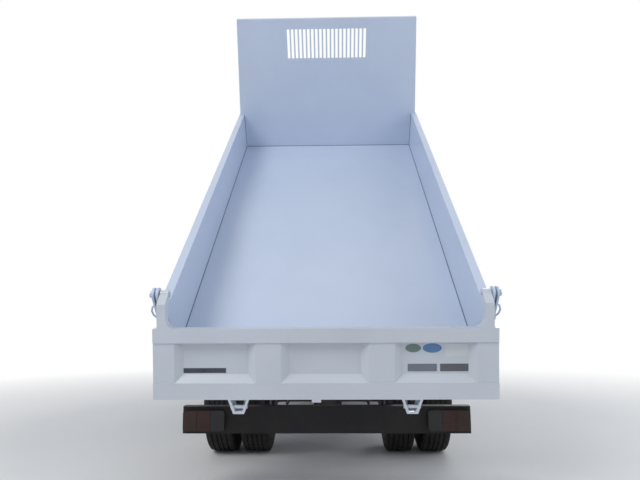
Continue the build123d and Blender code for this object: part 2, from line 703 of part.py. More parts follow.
def rear_wheels():
    """Twin tyres and rims at the right end of the rear axle, disc against disc."""
    inner_x = TWIN_OUTER_X - 2 * RIM_OFFSET
    tyres = tyre_ring(TWIN_OUTER_X, 0) + tyre_ring(inner_x, 0)
    rims = rim(TWIN_OUTER_X, 0, -1) + rim(inner_x, 0, 1)
    return tyres, rims + hub(rear_hub_inner_x(), TWIN_OUTER_X - 32.5, TWIN_OUTER_X - 122.5, 0)


# Cab

# rise over the bottom edge, inset of the side, setback of the back wall, of the front at the side
# and in the middle, corner radius, and the share of the wall that comes off the height inside
CAB_SECTIONS = (
    (0, 8, 0, 82, 8, 110, 0),
    (360, 0, 0, 80, 0, 110, 0),
    (BELT_RISE, 0, 0, 152, 60, 105, 0),
    (1240, 56, 12, 550, 452, 90, 0.3),
    (1310, 90, 40, 620, 530, 90, 0.8),
    (1342, 177, 120, 730, 655, 90, 1),
)


def cab_form(inset):
    """The cab's outer form, or one laid inside it by the given thickness."""
    rings = []
    for rise, narrow, back, side_set, nose_set, corner, drop in CAB_SECTIONS:
        half = CAB_HALF - narrow - inset
        rear = CAB_REAR_Y + back + inset
        side = CAB_NOSE_Y - side_set - inset
        nose = CAB_NOSE_Y - nose_set - inset
        face = make_face(
            [
                Line((-half, rear), (half, rear)),
                Line((half, rear), (half, side)),
                ThreePointArc((half, side), (0, nose), (-half, side)),
                Line((-half, side), (-half, rear)),
            ]
        )
        front_corners = face.vertices().filter_by_position(Axis.Y, side - 1, nose + 1)
        level = CAB_BOTTOM + rise - inset * drop
        rings.append(Pos(0, 0, level) * fillet(front_corners, corner - inset * 0.5))
    return loft(rings, ruled=True)


def cab_skin(outer, inner):
    """A layer of the cab's wall between two depths."""
    return cab_form(outer) - cab_form(inner)


DOOR_REAR_Y = CAB_REAR_Y + 140
DOOR_HINGE_Y = CAB_NOSE_Y - 270
DOOR_LOW = CAB_BOTTOM + 130
DOOR_HINGE_X = CAB_HALF + 12
DOOR_HINGES = (BELT_Z - 240, BELT_Z - 50)
SIDE_CUT = (CAB_HALF - 282, CAB_HALF + 58)
DOOR_LINE = (
    (DOOR_REAR_Y, DOOR_LOW),
    (DOOR_HINGE_Y, DOOR_LOW),
    (DOOR_HINGE_Y, BELT_Z),
    (CAB_NOSE_Y - 585, CAB_BOTTOM + 1218),
    (DOOR_REAR_Y, CAB_BOTTOM + 1230),
)
DOOR_WINDOW_LINE = (
    (DOOR_REAR_Y + 70, BELT_Z + 50),
    (DOOR_HINGE_Y - 95, BELT_Z + 50),
    (CAB_NOSE_Y - 615, CAB_BOTTOM + 1152),
    (DOOR_REAR_Y + 70, CAB_BOTTOM + 1162),
)
SCREEN_LINE = (
    (120 - CAB_HALF, BELT_Z + 45),
    (CAB_HALF - 120, BELT_Z + 45),
    (CAB_HALF - 178, CAB_BOTTOM + 1195),
    (178 - CAB_HALF, CAB_BOTTOM + 1195),
)
REAR_WINDOW_LINE = ((-470, BELT_Z + 100), (470, BELT_Z + 100), (470, BELT_Z + 450), (-470, BELT_Z + 450))
GRILLE_HALF = 560
GRILLE_Z = (CAB_BOTTOM + 60, CAB_BOTTOM + 240)
GRILLE_DEPTH = 18
STEP_X = (CAB_HALF - 202, CAB_HALF - 8)
STEP_BACK = WHEELBASE + ARCH_RADIUS + 35
STEP_FRONT = CAB_NOSE_Y - 160
STEP_LOW = CAB_BOTTOM - 210
STEP_WALL = 28


def door_prism(grow):
    """The space of the right door between the pillars, above the front wheel's arch."""
    space = side_prism(outline_face(DOOR_LINE, 40, grow), SIDE_CUT)
    return space - pin((SIDE_CUT[0] - 60, SIDE_CUT[1] + 50), WHEELBASE, TYRE_RADIUS, ARCH_RADIUS + 34 - grow)


def window_prism():
    return side_prism(outline_face(DOOR_WINDOW_LINE, 45), SIDE_CUT)


def screen_prism():
    return end_prism(outline_face(SCREEN_LINE, 60), (CAB_NOSE_Y - 660, CAB_NOSE_Y + 40))


def rear_window_prism():
    return end_prism(outline_face(REAR_WINDOW_LINE, 50), (CAB_REAR_Y - 40, CAB_REAR_Y + 110))


def cab_floor():
    """The foot floor, the riser and the raised floor over the engine, out to the cab's skin."""
    wide = (-CAB_HALF, CAB_HALF)
    riser = (RISER_Y, RISER_Y + FLOOR_THICK)
    floor = block(wide, (RISER_Y, CAB_NOSE_Y), (FOOT_FLOOR - FLOOR_THICK, FOOT_FLOOR))
    floor += block(wide, riser, (FOOT_FLOOR - FLOOR_THICK, SEAT_FLOOR))
    floor += block(wide, (CAB_REAR_Y, riser[1]), (SEAT_FLOOR - FLOOR_THICK, SEAT_FLOOR))
    return floor & cab_form(0)


def step_box():
    """The body of the right entry step, under the door and behind the bumper."""
    return block(STEP_X, (STEP_BACK, STEP_FRONT), (STEP_LOW, CAB_BOTTOM + 100))


def step_spaces():
    """The room for a foot over each of the two treads, open through the skin."""
    x = (STEP_X[0] + STEP_WALL, CAB_HALF + 10)
    y = (STEP_BACK + STEP_WALL, STEP_FRONT - STEP_WALL)
    upper = block(x, y, (STEP_LOW + 182, CAB_BOTTOM + 88))
    return block(x, y, (STEP_LOW + STEP_WALL, STEP_LOW + 160)) + upper


def door_hinge(part):
    """The right door's upright hinges: part 0 is the cab's two ears and pin, part 1 the door's barrel."""
    ear, barrel = 40, 18
    radius = DOOR_PIN_RADIUS + 5
    leaf_x = (CAB_HALF - 2, CAB_HALF + 4)
    pieces = None
    for middle in DOOR_HINGES:
        if part == 0:
            piece = post(DOOR_HINGE_X, DOOR_HINGE_Y, (middle - ear, middle + ear), DOOR_PIN_RADIUS)
            for low, high in ((middle - ear, middle - barrel - 1), (middle + barrel + 1, middle + ear)):
                piece += post(DOOR_HINGE_X, DOOR_HINGE_Y, (low, high), radius)
                piece += block(leaf_x, (DOOR_HINGE_Y + 5, DOOR_HINGE_Y + 40), (low, high))
        else:
            z = (middle - barrel, middle + barrel)
            piece = post(DOOR_HINGE_X, DOOR_HINGE_Y, z, radius)
            piece += block(leaf_x, (DOOR_HINGE_Y - 42, DOOR_HINGE_Y - 5), z)
            piece -= post(DOOR_HINGE_X, DOOR_HINGE_Y, (z[0] - 1, z[1] + 1), DOOR_PIN_RADIUS + RUNNING_GAP)
        pieces = piece if pieces is None else pieces + piece
    return pieces


def wheel_arch():
    """The liner over the right front wheel and its lip on the skin."""
    liner = pin((CAB_HALF - 267, CAB_HALF - 6), WHEELBASE, TYRE_RADIUS, ARCH_RADIUS + ARCH_LINER)
    liner += pin((CAB_HALF - 20, CAB_HALF + 8), WHEELBASE, TYRE_RADIUS, ARCH_RADIUS + 26)
    liner -= pin((CAB_HALF - 272, CAB_HALF + 12), WHEELBASE, TYRE_RADIUS, ARCH_RADIUS)
    reach = ARCH_RADIUS + 70
    return liner & block(
        (CAB_HALF - 280, CAB_HALF + 20),
        (WHEELBASE - CAB_BACK, WHEELBASE + reach),
        (CAB_BOTTOM - 40, SEAT_FLOOR),
    )


def cab_pivot_lug():
    """The right lug under the floor that turns on the frame's pivot pin."""
    x = (RAIL_OUTER_X - 6, RAIL_OUTER_X + 34)
    eye = 22
    floor = FOOT_FLOOR - FLOOR_THICK + 1
    lug = side_prism(
        [
            (CAB_PIVOT_Y - eye, CAB_PIVOT_Z),
            (CAB_PIVOT_Y + eye, CAB_PIVOT_Z),
            (CAB_PIVOT_Y + eye + 6, floor),
            (CAB_PIVOT_Y - eye - 20, floor),
        ],
        x,
    )
    lug += pin(x, CAB_PIVOT_Y, CAB_PIVOT_Z, eye)
    return lug - pin((x[0] - 1, x[1] + 1), CAB_PIVOT_Y, CAB_PIVOT_Z, CAB_PIN_RADIUS + RUNNING_GAP)


def cab_shell():
    """Skin, floors, riser, wheel-arch liners, steps, hinges and pivots, with every opening cut."""
    shell = cab_skin(0, CAB_WALL) + cab_floor()
    shell -= block(
        (-CAB_HALF - 9, CAB_HALF + 9),
        (CAB_REAR_Y - 90, WHEELBASE + ARCH_RADIUS),
        (CAB_BOTTOM - 10, CAB_BOTTOM + 95),
    )
    engine_tunnel = (-CAB_HALF + 282, CAB_HALF - 282)
    shell -= block(
        engine_tunnel, (CAB_REAR_Y - 90, CAB_REAR_Y + 110), (CAB_BOTTOM + 60, SEAT_FLOOR - FLOOR_THICK)
    )
    shell -= pin((-CAB_HALF - 58, CAB_HALF + 58), WHEELBASE, TYRE_RADIUS, ARCH_RADIUS)
    shell += both(wheel_arch() + step_box() + cab_pivot_lug())
    shell -= both(step_spaces())
    shell -= both(door_prism(0))
    shell += both(door_hinge(0))
    shell -= screen_prism()
    shell -= rear_window_prism()
    grille = block((-GRILLE_HALF, GRILLE_HALF), (CAB_NOSE_Y - 160, CAB_NOSE_Y + 40), GRILLE_Z)
    return shell - (cab_skin(0, GRILLE_DEPTH) & grille)


def cab_grille():
    """The grille in its recess: a frame, level slats and a middle post, bowed with the cab's front."""
    low, high = GRILLE_Z
    front = (CAB_NOSE_Y - 160, CAB_NOSE_Y + 40)
    edge = 14
    grille = cab_skin(2, GRILLE_DEPTH) & block((1 - GRILLE_HALF, GRILLE_HALF - 1), front, (low + 1, high - 1))
    slats = 6
    pitch = (high - low - edge) / slats
    for row in range(slats):
        gap = (low + edge + pitch * row, low + pitch * (row + 1))
        grille -= both(block((edge, GRILLE_HALF - edge), front, gap))
    return grille


def cab_glass():
    """The windscreen and the rear window, each a curved pane in its own opening."""
    pane = cab_skin(9, 14)
    return (pane & screen_prism()) + (pane & rear_window_prism())


WHEEL_HUB = (STEER_X, CAB_NOSE_Y - 510, FOOT_FLOOR + 430)
COLUMN_RUN = (0, 210, -95)


def dashboard():
    """A padded fascia across the cab, with vents and a glove box cut in it, and the column."""
    front = CAB_NOSE_Y - 120
    line = (
        (front, FOOT_FLOOR), (front, FOOT_FLOOR + 455), (front - 110, FOOT_FLOOR + 500),
        (front - 240, FOOT_FLOOR + 477), (front - 290, FOOT_FLOOR + 405), (front - 250, FOOT_FLOOR + 305),
        (front - 110, FOOT_FLOOR + 255), (front - 60, FOOT_FLOOR),
    )
    fascia = side_prism(outline_face(line, 14), (72 - CAB_HALF, CAB_HALF - 72)) & cab_form(CAB_WALL)
    back = (front - 320, front - 272)
    vent_z = (FOOT_FLOOR + 375, FOOT_FLOOR + 425)
    for middle in (-640, -130, 60, 660):
        fascia -= block((middle - 55, middle + 55), back, vent_z)
    fascia -= block((-560, -250), (front - 320, front - 255), (FOOT_FLOOR + 310, FOOT_FLOOR + 352))
    hub_point = Vector(*WHEEL_HUB)
    column = bar(tuple(hub_point + Vector(*COLUMN_RUN)), WHEEL_HUB, 38)
    hood = side_prism(
        outline_face(
            (
                (front - 290, FOOT_FLOOR + 440), (front - 130, FOOT_FLOOR + 470),
                (front - 150, FOOT_FLOOR + 535), (front - 270, FOOT_FLOOR + 530),
            ),
            18,
        ),
        (STEER_X - 190, STEER_X + 190),
    )
    return fascia + column + hood


def steering_wheel():
    """A rim on spokes and a centre pad, square to the raked column."""
    plane = Plane(origin=WHEEL_HUB, z_dir=(0, -COLUMN_RUN[1], -COLUMN_RUN[2]))
    ring = Torus(190, 14)
    pad = Cylinder(60, 40)
    spokes = Box(370, 34, 14) + Pos(0, -90, 0) * Box(34, 190, 14)
    return plane * Pos(0, 0, 20) * (ring + pad + spokes)


def seats():
    """The driver's seat and the bench beside it, each with cushion, back and headrest."""
    back = CAB_REAR_Y + 100
    cushion_line = (
        (back + 130, SEAT_FLOOR), (back + 560, SEAT_FLOOR), (back + 575, SEAT_FLOOR + 130),
        (back + 540, SEAT_FLOOR + 152), (back + 110, SEAT_FLOOR + 125),
    )
    back_line = (
        (back + 110, SEAT_FLOOR + 100), (back + 200, SEAT_FLOOR + 120), (back + 185, SEAT_FLOOR + 300),
        (back + 90, SEAT_FLOOR + 630), (back, SEAT_FLOOR + 620),
    )
    result = None
    for middle, width in ((STEER_X, 480), (-260, 640)):
        x = (middle - width / 2, middle + width / 2)
        seat = side_prism(outline_face(cushion_line, 20), x) + side_prism(outline_face(back_line, 25), x)
        rest = block((middle - 130, middle + 130), (back, back + 75), (SEAT_FLOOR + 645, SEAT_FLOOR + 790))
        seat += fillet(rest.edges().filter_by(Axis.Y), 35)
        for stalk in (middle - 60, middle + 60):
            seat += post(stalk, back + 40, (SEAT_FLOOR + 590, SEAT_FLOOR + 690), 7)
        result = seat if result is None else result + seat
    return result


def mirrors():
    """A bracket tube at each front pillar, carrying an upright mirror with a round one under it."""
    x = CAB_HALF + 93
    y = CAB_NOSE_Y - 98
    low = CAB_BOTTOM + 370
    tube = bent_bar(
        [
            (CAB_HALF - 4, y - 62, low), (x, y, low + 20), (x, y, low + 550),
            (CAB_HALF - 42, y - 142, low + 490),
        ],
        11,
    )
    head = block((x - 69, x + 101), (y - 10, y + 50), (low + 190, low + 490))
    head = fillet(head.edges().filter_by(Axis.Y), 38)
    round_head = bar((x + 20, y - 8, low + 100), (x + 20, y + 30, low + 100), 70)
    return both(tube + head + round_head - cab_form(0))


def door():
    """The right door with its window opening, handle and hinge barrels, and the glass in it."""
    panel = cab_skin(0, DOOR_THICK) & door_prism(-DOOR_GAP)
    panel -= window_prism()
    crease_z = (BELT_Z - 70, BELT_Z - 58)
    crease = block((CAB_HALF - 3, CAB_HALF + 9), (DOOR_REAR_Y + 60, DOOR_HINGE_Y - 70), crease_z)
    panel -= crease
    handle = (DOOR_REAR_Y + 80, DOOR_REAR_Y + 220)
    handle_z = (BELT_Z - 160, BELT_Z - 132)
    pocket_z = (handle_z[0] - 26, handle_z[1] + 26)
    pocket = block((CAB_HALF - 16, CAB_HALF + 9), (handle[0] + 22, handle[1] - 22), pocket_z)
    panel -= fillet(pocket.edges().filter_by(Axis.X), 12)
    grip = block((CAB_HALF - 4, CAB_HALF + 20), handle, handle_z)
    panel += fillet(grip.edges().filter_by(Axis.Y), 8)
    glass = cab_skin(12, 17) & window_prism()
    return panel + door_hinge(1), glass


# Bed

def bed_floor():
    """The steel floor plate, laid on the cross beams with a weld's gap at the walls."""
    half = BED_INNER_X - RUNNING_GAP
    return block((-half, half), (BED_REAR_Y, BED_FRONT_Y - RUNNING_GAP), (CROSS_TOP, FLOOR_Z))


def bed_sills():
    """Two long channels under the cross beams, with the hinge bosses near their rear ends."""
    x = (SILL_X - SILL_WIDTH / 2, SILL_X + SILL_WIDTH / 2)
    boss = HINGE_PIN_RADIUS + 18
    steel = 8
    sill = side_prism(
        [
            (BED_REAR_Y + 62, CROSS_Z), (BED_REAR_Y + 62, CROSS_Z - 40), (HINGE_Y - 60, HINGE_Z + 48),
            (HINGE_Y - boss, HINGE_Z), (HINGE_Y - 27, HINGE_Z - 27), (HINGE_Y, HINGE_Z - boss),
            (HINGE_Y + 40, SILL_BOTTOM), (BED_FRONT_Y, SILL_BOTTOM), (BED_FRONT_Y, CROSS_Z),
        ],
        x,
    )
    room_z = (SILL_BOTTOM + steel, CROSS_Z - steel)
    sill -= block((x[0] - 1, x[1] - steel), (HINGE_Y + 90, BED_FRONT_Y - steel), room_z)
    half = RAIL_FLANGE / 2 - 1
    sill += pin((SILL_X - half, SILL_X + half), HINGE_Y, HINGE_Z, boss)
    sill -= pin((SILL_X - 70, SILL_X + 80), HINGE_Y, HINGE_Z, HINGE_PIN_RADIUS + RUNNING_GAP)
    return both(sill)


def cross_beam(middle):
    """One channel across the bed, its open side forward."""
    half = 25
    beam = block((-BED_INNER_X, BED_INNER_X), (middle - half, middle + half), (CROSS_Z, CROSS_TOP))
    return beam - block(
        (-BED_INNER_X - 1, BED_INNER_X + 1),
        (middle - half + BEAM_STEEL, middle + half + 1),
        (CROSS_Z + BEAM_STEEL, CROSS_TOP - BEAM_STEEL),
    )


def bed_cross_beams():
    """The beams under the floor, the deep rear member with the gate's locks, and the ram's bracket."""
    eye_y, eye_z = HOIST_EYE
    room = 115
    across = (-BED_INNER_X, BED_INNER_X)
    frame = block(across, (BED_REAR_Y, BED_REAR_Y + 60), (CROSS_TOP - 103, CROSS_TOP))
    hook_y = BED_REAR_Y + 4
    hook = outline_face(
        [
            (hook_y, CROSS_TOP - 100), (hook_y + 54, CROSS_TOP - 100), (hook_y + 54, CROSS_TOP - 150),
            (hook_y + 36, CROSS_TOP - 178), (hook_y, CROSS_TOP - 178), (hook_y + 18, CROSS_TOP - 156),
            (hook_y + 18, CROSS_TOP - 132), (hook_y, CROSS_TOP - 120),
        ],
        3,
    )
    frame += both(side_prism(hook, (LOOP_X - 9, LOOP_X + 9)))
    frame += block(across, (BED_FRONT_Y - 50, BED_FRONT_Y), (CROSS_Z, CROSS_TOP))
    for row in range(1, int((BED_LENGTH - 160) / BEAM_PITCH) + 1):
        middle = BED_REAR_Y - 30 + row * BEAM_PITCH
        if abs(middle - eye_y) > room:
            frame += cross_beam(middle)
    inner = SILL_X - SILL_WIDTH / 2
    bracket = None
    for y in (eye_y - 92, eye_y + 80):
        plate = block((-inner, inner), (y, y + 12), (CROSS_Z - 50, CROSS_TOP))
        bracket = plate if bracket is None else bracket + plate
    cheek_line = [
        (eye_y - 84, CROSS_TOP), (eye_y - 84, CROSS_Z - 30), (eye_y - 34, eye_z - 30),
        (eye_y + 34, eye_z - 30), (eye_y + 84, CROSS_Z - 30), (eye_y + 84, CROSS_TOP),
    ]
    return frame + bracket + both(side_prism(cheek_line, (62, 76)))


def bed_side():
    """The right wall: a deep pressed panel with posts, and the gate's hinge plate, pin and ring."""
    low = CROSS_Z
    top = FLOOR_Z + BED_DEPTH
    wall = block((BED_INNER_X, BED_OUTER_X), (BED_REAR_Y, BED_FRONT_Y), (low, top))
    posts = 5
    post_width = 90
    pitch = (BED_LENGTH - post_width) / (posts - 1)
    for bay in range(posts - 1):
        start = BED_REAR_Y + post_width + bay * pitch
        wall -= block(
            (BED_OUTER_X - 34, BED_OUTER_X + 10), (start, start + pitch - post_width), (low + 75, top - 75)
        )
    eye = 34
    plate_face = make_face(
        [
            Polyline(
                (GATE_PIN_Y + eye, GATE_PIN_Z),
                (BED_REAR_Y + 130, top - 40),
                (BED_REAR_Y + 130, top - 150),
                (BED_REAR_Y, top - 150),
                (BED_REAR_Y, top - 40),
                (GATE_PIN_Y - eye, GATE_PIN_Z),
            ),
            ThreePointArc(
                (GATE_PIN_Y - eye, GATE_PIN_Z), (GATE_PIN_Y, GATE_PIN_Z + eye), (GATE_PIN_Y + eye, GATE_PIN_Z)
            ),
        ]
    )
    plate_x = BED_OUTER_X + 4
    wall += side_prism(plate_face, (BED_OUTER_X - 18, BED_OUTER_X - 6))
    wall += side_prism(plate_face, (plate_x, plate_x + 10))
    wall += block((BED_OUTER_X - 1, plate_x + 1), (BED_REAR_Y, BED_REAR_Y + 90), (top - 150, top - 20))
    pin_start = GATE_HALF - EAR_INBOARD - EAR_WIDTH - 6
    wall += pin((pin_start, plate_x + 26), GATE_PIN_Y, GATE_PIN_Z, GATE_PIN_RADIUS)
    wall += pin((plate_x + 10, plate_x + 24), GATE_PIN_Y, GATE_PIN_Z, 17)
    return wall + lock_lever(plate_x + 10)


def lock_lever(x):
    """The looped handle outside the right hinge plate, and its rod down to a lug on the wall."""
    y = GATE_PIN_Y + 10
    rod_foot = GATE_PIN_Z - 320
    loop = [
        (x - 5, y, GATE_PIN_Z - 68), (x + 22, y, GATE_PIN_Z - 86), (x + 30, y, GATE_PIN_Z - 112),
        (x + 24, y, GATE_PIN_Z - 138), (x + 6, y, GATE_PIN_Z - 158), (x + 12, y, rod_foot),
    ]
    lever = bent_bar(loop, 5)
    lever += block((x - 10, x + 10), (y - 12, y + 12), (GATE_PIN_Z - 170, GATE_PIN_Z - 150))
    lever += block((BED_OUTER_X - 1, x + 18), (y - 8, y + 8), (rod_foot - 12, rod_foot + 8))
    return lever


def headboard():
    """The tall front board with its tapered top, stiffened in front, and the slotted window."""
    low = CROSS_Z
    rail = FLOOR_Z + BED_DEPTH
    top = FLOOR_Z + HEADBOARD_HEIGHT
    half_top = BED_OUTER_X - HEADBOARD_TOP_INSET
    half_rail = BED_OUTER_X - HEADBOARD_SHOULDER
    outline = [
        (-BED_OUTER_X, low), (BED_OUTER_X, low), (BED_OUTER_X, rail), (half_rail, rail + 14),
        (half_top, top), (-half_top, top), (-half_rail, rail + 14), (-BED_OUTER_X, rail),
    ]
    board = end_prism(outline, (BED_FRONT_Y, BED_FRONT_Y + WALL))
    sill = FLOOR_Z + WINDOW_LOW
    head = FLOOR_Z + WINDOW_HIGH
    window_half = WINDOW_WIDTH / 2
    stile = 58
    outer = half_top - 50
    recess = (BED_FRONT_Y + 6, BED_FRONT_Y + WALL + 10)
    board -= block((-window_half, window_half), recess, (sill, head))
    board -= block((stile - window_half, window_half - stile), recess, (rail + 40, sill - 50))
    for x, z in (
        ((45, BED_OUTER_X - 67), (low + 60, rail - 30)),
        ((window_half + stile, outer), (rail + 40, sill - 50)),
        ((window_half + stile, outer), (sill, top - 45)),
    ):
        board -= both(block(x, recess, z))
    pitch = WINDOW_WIDTH / WINDOW_SLOTS
    slot_half = pitch * SLOT_SHARE / 2
    for slot in range(WINDOW_SLOTS):
        middle = (slot - (WINDOW_SLOTS - 1) / 2) * pitch
        board -= block(
            (middle - slot_half, middle + slot_half), (BED_FRONT_Y - 10, BED_FRONT_Y + WALL), (sill, head)
        )
    return board


def gate_ear():
    """The right ear: round about its pin, and widened in a quarter circle down to the gate."""
    outer = GATE_HALF - EAR_INBOARD
    inner = outer - EAR_WIDTH
    crown = GATE_PIN_Z + 22
    foot = GATE_TOP - 20
    turn = EAR_CORNER * (1 - cos(radians(45)))
    front = make_face(
        [
            Polyline((inner, GATE_TOP + EAR_CORNER), (inner, crown), (outer, crown), (outer, foot)),
            Polyline((outer, foot), (inner - EAR_CORNER, foot), (inner - EAR_CORNER, GATE_TOP)),
            ThreePointArc(
                (inner - EAR_CORNER, GATE_TOP),
                (inner - turn, GATE_TOP + turn),
                (inner, GATE_TOP + EAR_CORNER),
            ),
        ]
    )
    side = make_face(
        Polyline(
            (GATE_BACK_Y, foot), (GATE_FACE_Y, foot), (GATE_FACE_Y, GATE_PIN_Z - 45),
            (GATE_PIN_Y + 22, GATE_PIN_Z), (GATE_PIN_Y - 22, GATE_PIN_Z + 4), (GATE_BACK_Y, GATE_PIN_Z - 42),
            close=True,
        )
    )
    boss = pin((inner, outer), GATE_PIN_Y, GATE_PIN_Z, 22)
    ear = end_prism(front, (GATE_BACK_Y - 1, GATE_PIN_Y + 30)) & side_prism(side, (inner - EAR_CORNER, outer))
    return ear + boss - pin((inner - 90, outer + 50), GATE_PIN_Y, GATE_PIN_Z, GATE_PIN_RADIUS + RUNNING_GAP)


def lock_loop():
    """The right loop under the gate: a tapered bracket, open behind, and the bar that the hook takes."""
    y = (GATE_BACK_Y, GATE_FACE_Y)
    loop = end_prism(
        [
            (LOOP_X - 53, GATE_LOW + 4), (LOOP_X + 53, GATE_LOW + 4),
            (LOOP_X + 27, GATE_LOW - 70), (LOOP_X - 27, GATE_LOW - 70),
        ],
        y,
    )
    loop -= end_prism(
        [
            (LOOP_X - 39, GATE_LOW - 2), (LOOP_X + 39, GATE_LOW - 2),
            (LOOP_X + 17, GATE_LOW - 60), (LOOP_X - 17, GATE_LOW - 60),
        ],
        (y[0] - 10, y[1] - 8),
    )
    loop -= end_prism(
        [
            (LOOP_X - 24, GATE_LOW - 2), (LOOP_X + 24, GATE_LOW - 2),
            (LOOP_X + 15, GATE_LOW - 50), (LOOP_X - 15, GATE_LOW - 50),
        ],
        (y[0] - 10, y[1] + 5),
    )
    return loop + pin((LOOP_X - 42, LOOP_X + 42), GATE_BACK_Y + 20, GATE_LOW - 40, 9)


def gate_pocket(x):
    """The space of one pressed pocket, with a square top edge and sloped sides and sill."""
    near = GATE_BACK_Y + GATE_RAIL_PROUD
    deep = near + POCKET_DEPTH
    top = GATE_TOP - GATE_TOP_RAIL
    sill = GATE_LOW + GATE_LOW_RAIL

    def ring(y, side, rise):
        outline = Polyline(
            (x[0] + side, sill + rise), (x[1] - side, sill + rise), (x[1] - side, top), (x[0] + side, top),
            close=True,
        )
        return Pos(0, y, 0) * (Plane.XZ * make_face(outline))

    slope = loft([ring(near, 0, 0), ring(deep, POCKET_SLOPE, POCKET_SLOPE)], ruled=True)
    return slope + block(x, (GATE_BACK_Y - 5, near), (sill, top))


def tailgate():
    """The gate: a box rail along its top and foot, a pressed panel between, ears and lock loops."""
    margin = 105
    between = 126
    middle_half = 215
    panel = GATE_BACK_Y + GATE_RAIL_PROUD
    gate = block((-GATE_HALF, GATE_HALF), (GATE_BACK_Y, GATE_FACE_Y), (GATE_LOW, GATE_TOP))
    gate -= block(
        (-GATE_HALF - 1, GATE_HALF + 1),
        (GATE_BACK_Y - 1, panel),
        (GATE_LOW + GATE_LOW_RAIL, GATE_TOP - GATE_TOP_RAIL),
    )
    gate -= gate_pocket((-middle_half, middle_half))
    gate -= both(gate_pocket((middle_half + between, GATE_HALF - margin)))
    hollow = (panel + POCKET_DEPTH + 4, GATE_FACE_Y - 4)
    gate -= block((6 - GATE_HALF, GATE_HALF - 6), hollow, (GATE_LOW + 6, GATE_TOP - 6))
    gate += block((-65, -20), (GATE_BACK_Y, GATE_BACK_Y + 6), (GATE_LOW - 14, GATE_LOW + 1))
    return gate + both(gate_ear() + lock_loop())


# Hoist

def ram_length(tilt):
    """From the ram's foot to its eye at a tilt: the third side of the triangle."""
    closed = hypot(HOIST_EYE[0] - HOIST_FOOT[0], HOIST_EYE[1] - HOIST_FOOT[1])
    half = degrees(asin(closed / 2 / HOIST_RADIUS)) + tilt / 2
    return 2 * HOIST_RADIUS * sin(radians(half))


def turned(point, centre, angle):
    """A point given as (Y, Z), turned in degrees about a line across the truck."""
    ahead = point[0] - centre[0]
    above = point[1] - centre[1]
    turn = radians(angle)
    return (
        centre[0] + ahead * cos(turn) - above * sin(turn),
        centre[1] + ahead * sin(turn) + above * cos(turn),
    )


def tipped_point(point):
    """Where a point of the lowered bed is once the bed is tipped."""
    return turned(point, (HINGE_Y, HINGE_Z), BED_TILT)


def hoist_ram():
    """The telescopic ram at the tipped bed's angle: barrel, two middle stages and the rod."""
    closed = ram_length(0)
    stroke = (ram_length(BED_TILT) - closed) / RAM_STAGES
    eye = tipped_point(HOIST_EYE)
    lean = Plane(
        origin=(0, *HOIST_FOOT),
        x_dir=(1, 0, 0),
        z_dir=(0, eye[0] - HOIST_FOOT[0], eye[1] - HOIST_FOOT[1]),
    )

    def length_of(start, end, radius):
        return Pos(0, 0, start) * Cylinder(
            radius, end - start, align=(Align.CENTER, Align.CENTER, Align.MIN)
        )

    pieces = []
    outer = RAM_BARREL_RADIUS
    mouth = closed - 46
    for stage in range(RAM_STAGES + 1):
        start = 28 + 6 * stage
        end = mouth + 8 * stage
        if stage < RAM_STAGES:
            tube = length_of(start, end, outer) - length_of(start + 5, end + 1, outer - RAM_WALL)
            if stage == 0:
                tube += length_of(0, start + 1, 30)
                tube += length_of(end - 34, end - 12, outer + 7) - length_of(end - 40, end, outer - 2)
                tube += Rot(0, 90, 0) * Cylinder(32, 60)
                tube -= Rot(0, 90, 0) * Cylinder(FOOT_PIN_RADIUS + RUNNING_GAP, 200)
        else:
            tube = length_of(start, closed - 10, outer)
            tube += Pos(0, 0, closed) * Rot(0, 90, 0) * Cylinder(25, 56)
            tube += Pos(0, 0, closed) * Rot(0, 90, 0) * Cylinder(12, 121)
        pieces.append(lean * Pos(0, 0, stroke * stage) * tube)
        outer -= RAM_WALL + RUNNING_GAP
    return pieces


# Putting together

def tipped(shape):
    return shape.rotate(Axis((0, HINGE_Y, HINGE_Z), (1, 0, 0)), BED_TILT)


def gate_opening(gate):
    """How far the gate swings away from the bed's end, its weight straight below its pins."""
    centre = gate.center(CenterOf.MASS)
    lean = degrees(atan2(GATE_PIN_Y - centre.Y, GATE_PIN_Z - centre.Z))
    return BED_TILT - lean


def hung(gate):
    pins = Axis((0, GATE_PIN_Y, GATE_PIN_Z), (1, 0, 0))
    return tipped(gate.rotate(pins, -gate_opening(gate)))


